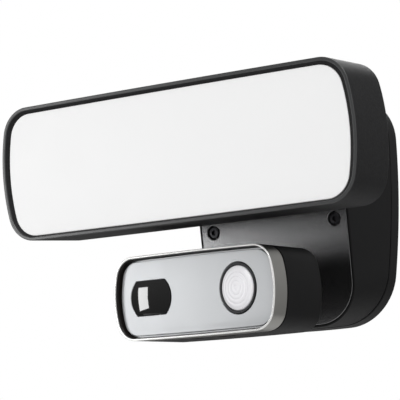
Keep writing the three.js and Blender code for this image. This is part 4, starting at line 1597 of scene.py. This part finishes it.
class Studio:
    """Pale room, soft lights and the camera."""

    BOXES = (
        Softbox("Strip Softbox", (-0.86, -1.0, -0.09), (-0.038, -0.141, -0.073),
                0.25, 0.37, 2.2),
        Softbox("Key Softbox", (0.9, -1.56, 1.26), (0, -0.1, 0), 1.4, 1.2, 20.5),
        Softbox("Back Softbox", (-0.8, 1.5, 0.9), (0, -0.05, 0), 1.2, 1.0, 14.0),
    )

    def __init__(self, view: Viewpoint = Viewpoint()) -> None:
        """Takes the camera pose."""
        self.view = view

    def build(self) -> None:
        """Builds the room, the lights and the camera."""
        self.world()
        self.floor()
        for box in self.BOXES:
            self.light(box)
        self.camera()
        bpy.context.scene.view_settings.view_transform = "Standard"
        log.info("studio ready")

    def world(self) -> None:
        """White behind the object; softer light that is strongest from the front."""
        world = bpy.data.worlds.new("Pale Room")
        bpy.context.scene.world = world
        world.use_nodes = True
        graph = Graph(world.node_tree)
        graph.tree.nodes.clear()
        facing = graph.add("ShaderNodeTexCoord").outputs["Generated"]

        def ramp(direction: Triple, start: Point, end: Point) -> Socket:
            """Brightness between two pairs of a reach along a direction and a level.

            Args:
                direction: The direction.
                start: The first reach and level.
                end: The last reach and level.

            Returns:
                The level.
            """
            along = graph.add("ShaderNodeVectorMath", {0: facing, 1: direction},
                              operation="DOT_PRODUCT")
            return graph.add("ShaderNodeMapRange", {
                "Value": along.outputs["Value"], "From Min": start[0], "From Max": end[0],
                "To Min": start[1], "To Max": end[1],
            }).outputs[0]

        def product(one: Socket, other: Socket) -> Socket:
            """Two levels multiplied."""
            return graph.add("ShaderNodeMath", {0: one, 1: other},
                             operation="MULTIPLY").outputs[0]

        front = ramp((0.5, -0.87, 0.0), (-0.95, 0.05), (0.3, 0.95))
        height = ramp((0.0, 0.0, 1.0), (-0.8, 0.2), (0.9, 1.4))
        dim = ramp((-0.56, -0.83, 0.0), (0.35, 1.0), (0.8, 0.28))
        seen = graph.add("ShaderNodeLightPath").outputs["Is Camera Ray"]
        pick = graph.add("ShaderNodeMix", {
            "Factor": seen, "A": product(front, product(height, dim)), "B": 1.0,
        })
        glow = graph.add("ShaderNodeBackground", {
            "Color": (1.0, 1.0, 1.0, 1.0), "Strength": pick.outputs["Result"],
        })
        graph.add("ShaderNodeOutputWorld", {"Surface": glow.outputs[0]})

    def floor(self) -> None:
        """Pale floor well below the object."""
        reach, level = 6.0, -1.9
        corners = [(sx * reach, sy * reach, level)
                   for sx, sy in ((-1, -1), (1, -1), (1, 1), (-1, 1))]
        mesh = bpy.data.meshes.new("floor")
        mesh.from_pydata(corners, [], [(0, 1, 2, 3)])
        material = bpy.data.materials.new("Pale Floor")
        material.use_nodes = True
        Graph(material.node_tree).feed(material.node_tree.nodes["Principled BSDF"], {
            "Base Color": (0.8, 0.8, 0.8, 1.0), "Roughness": 0.7,
        })
        mesh.materials.append(material)
        placed("floor", mesh)

    @staticmethod
    def light(box: Softbox) -> None:
        """Adds one soft light.

        Args:
            box: The light's place, size and power.
        """
        data = bpy.data.lights.new(box.name, "AREA")
        data.shape = "RECTANGLE"
        data.size, data.size_y = box.width, box.height
        data.energy = box.power
        lamp = placed(box.name, data)
        lamp.location = box.place
        aim = Vector(box.target) - Vector(box.place)
        lamp.rotation_euler = aim.to_track_quat("-Z", "Y").to_euler()

    def camera(self) -> None:
        """Places the camera from its angles."""
        v = self.view
        azimuth, elevation, roll = (math.radians(a) for a in (v.azimuth, v.elevation, v.roll))
        back = Vector((math.sin(azimuth) * math.cos(elevation),
                       -math.cos(azimuth) * math.cos(elevation), math.sin(elevation)))
        right = Vector((math.cos(azimuth), math.sin(azimuth), 0.0))
        up = back.cross(right)
        across = right * math.cos(roll) + up * math.sin(roll)
        above = up * math.cos(roll) - right * math.sin(roll)
        data = bpy.data.cameras.new("Camera")
        data.sensor_width = 36.0
        data.lens = v.lens
        data.clip_start, data.clip_end = 0.05, 20.0
        camera = placed("Camera", data)
        pose = Matrix((across, above, back)).transposed().to_4x4()
        pose.translation = Vector(v.aim) + back * v.distance
        camera.matrix_world = pose
        bpy.context.scene.camera = camera


def main() -> None:
    """Builds the object and its studio."""
    shop = Workshop()
    WallUnit(shop).build()
    LampHead(shop).build()
    CameraModule(shop).build()
    for group in CARRIED:
        for node in group.nodes:
            shop.keep(node, group.finish, group.bevel)
    Studio().build()


if __name__ == "__main__":
    main()
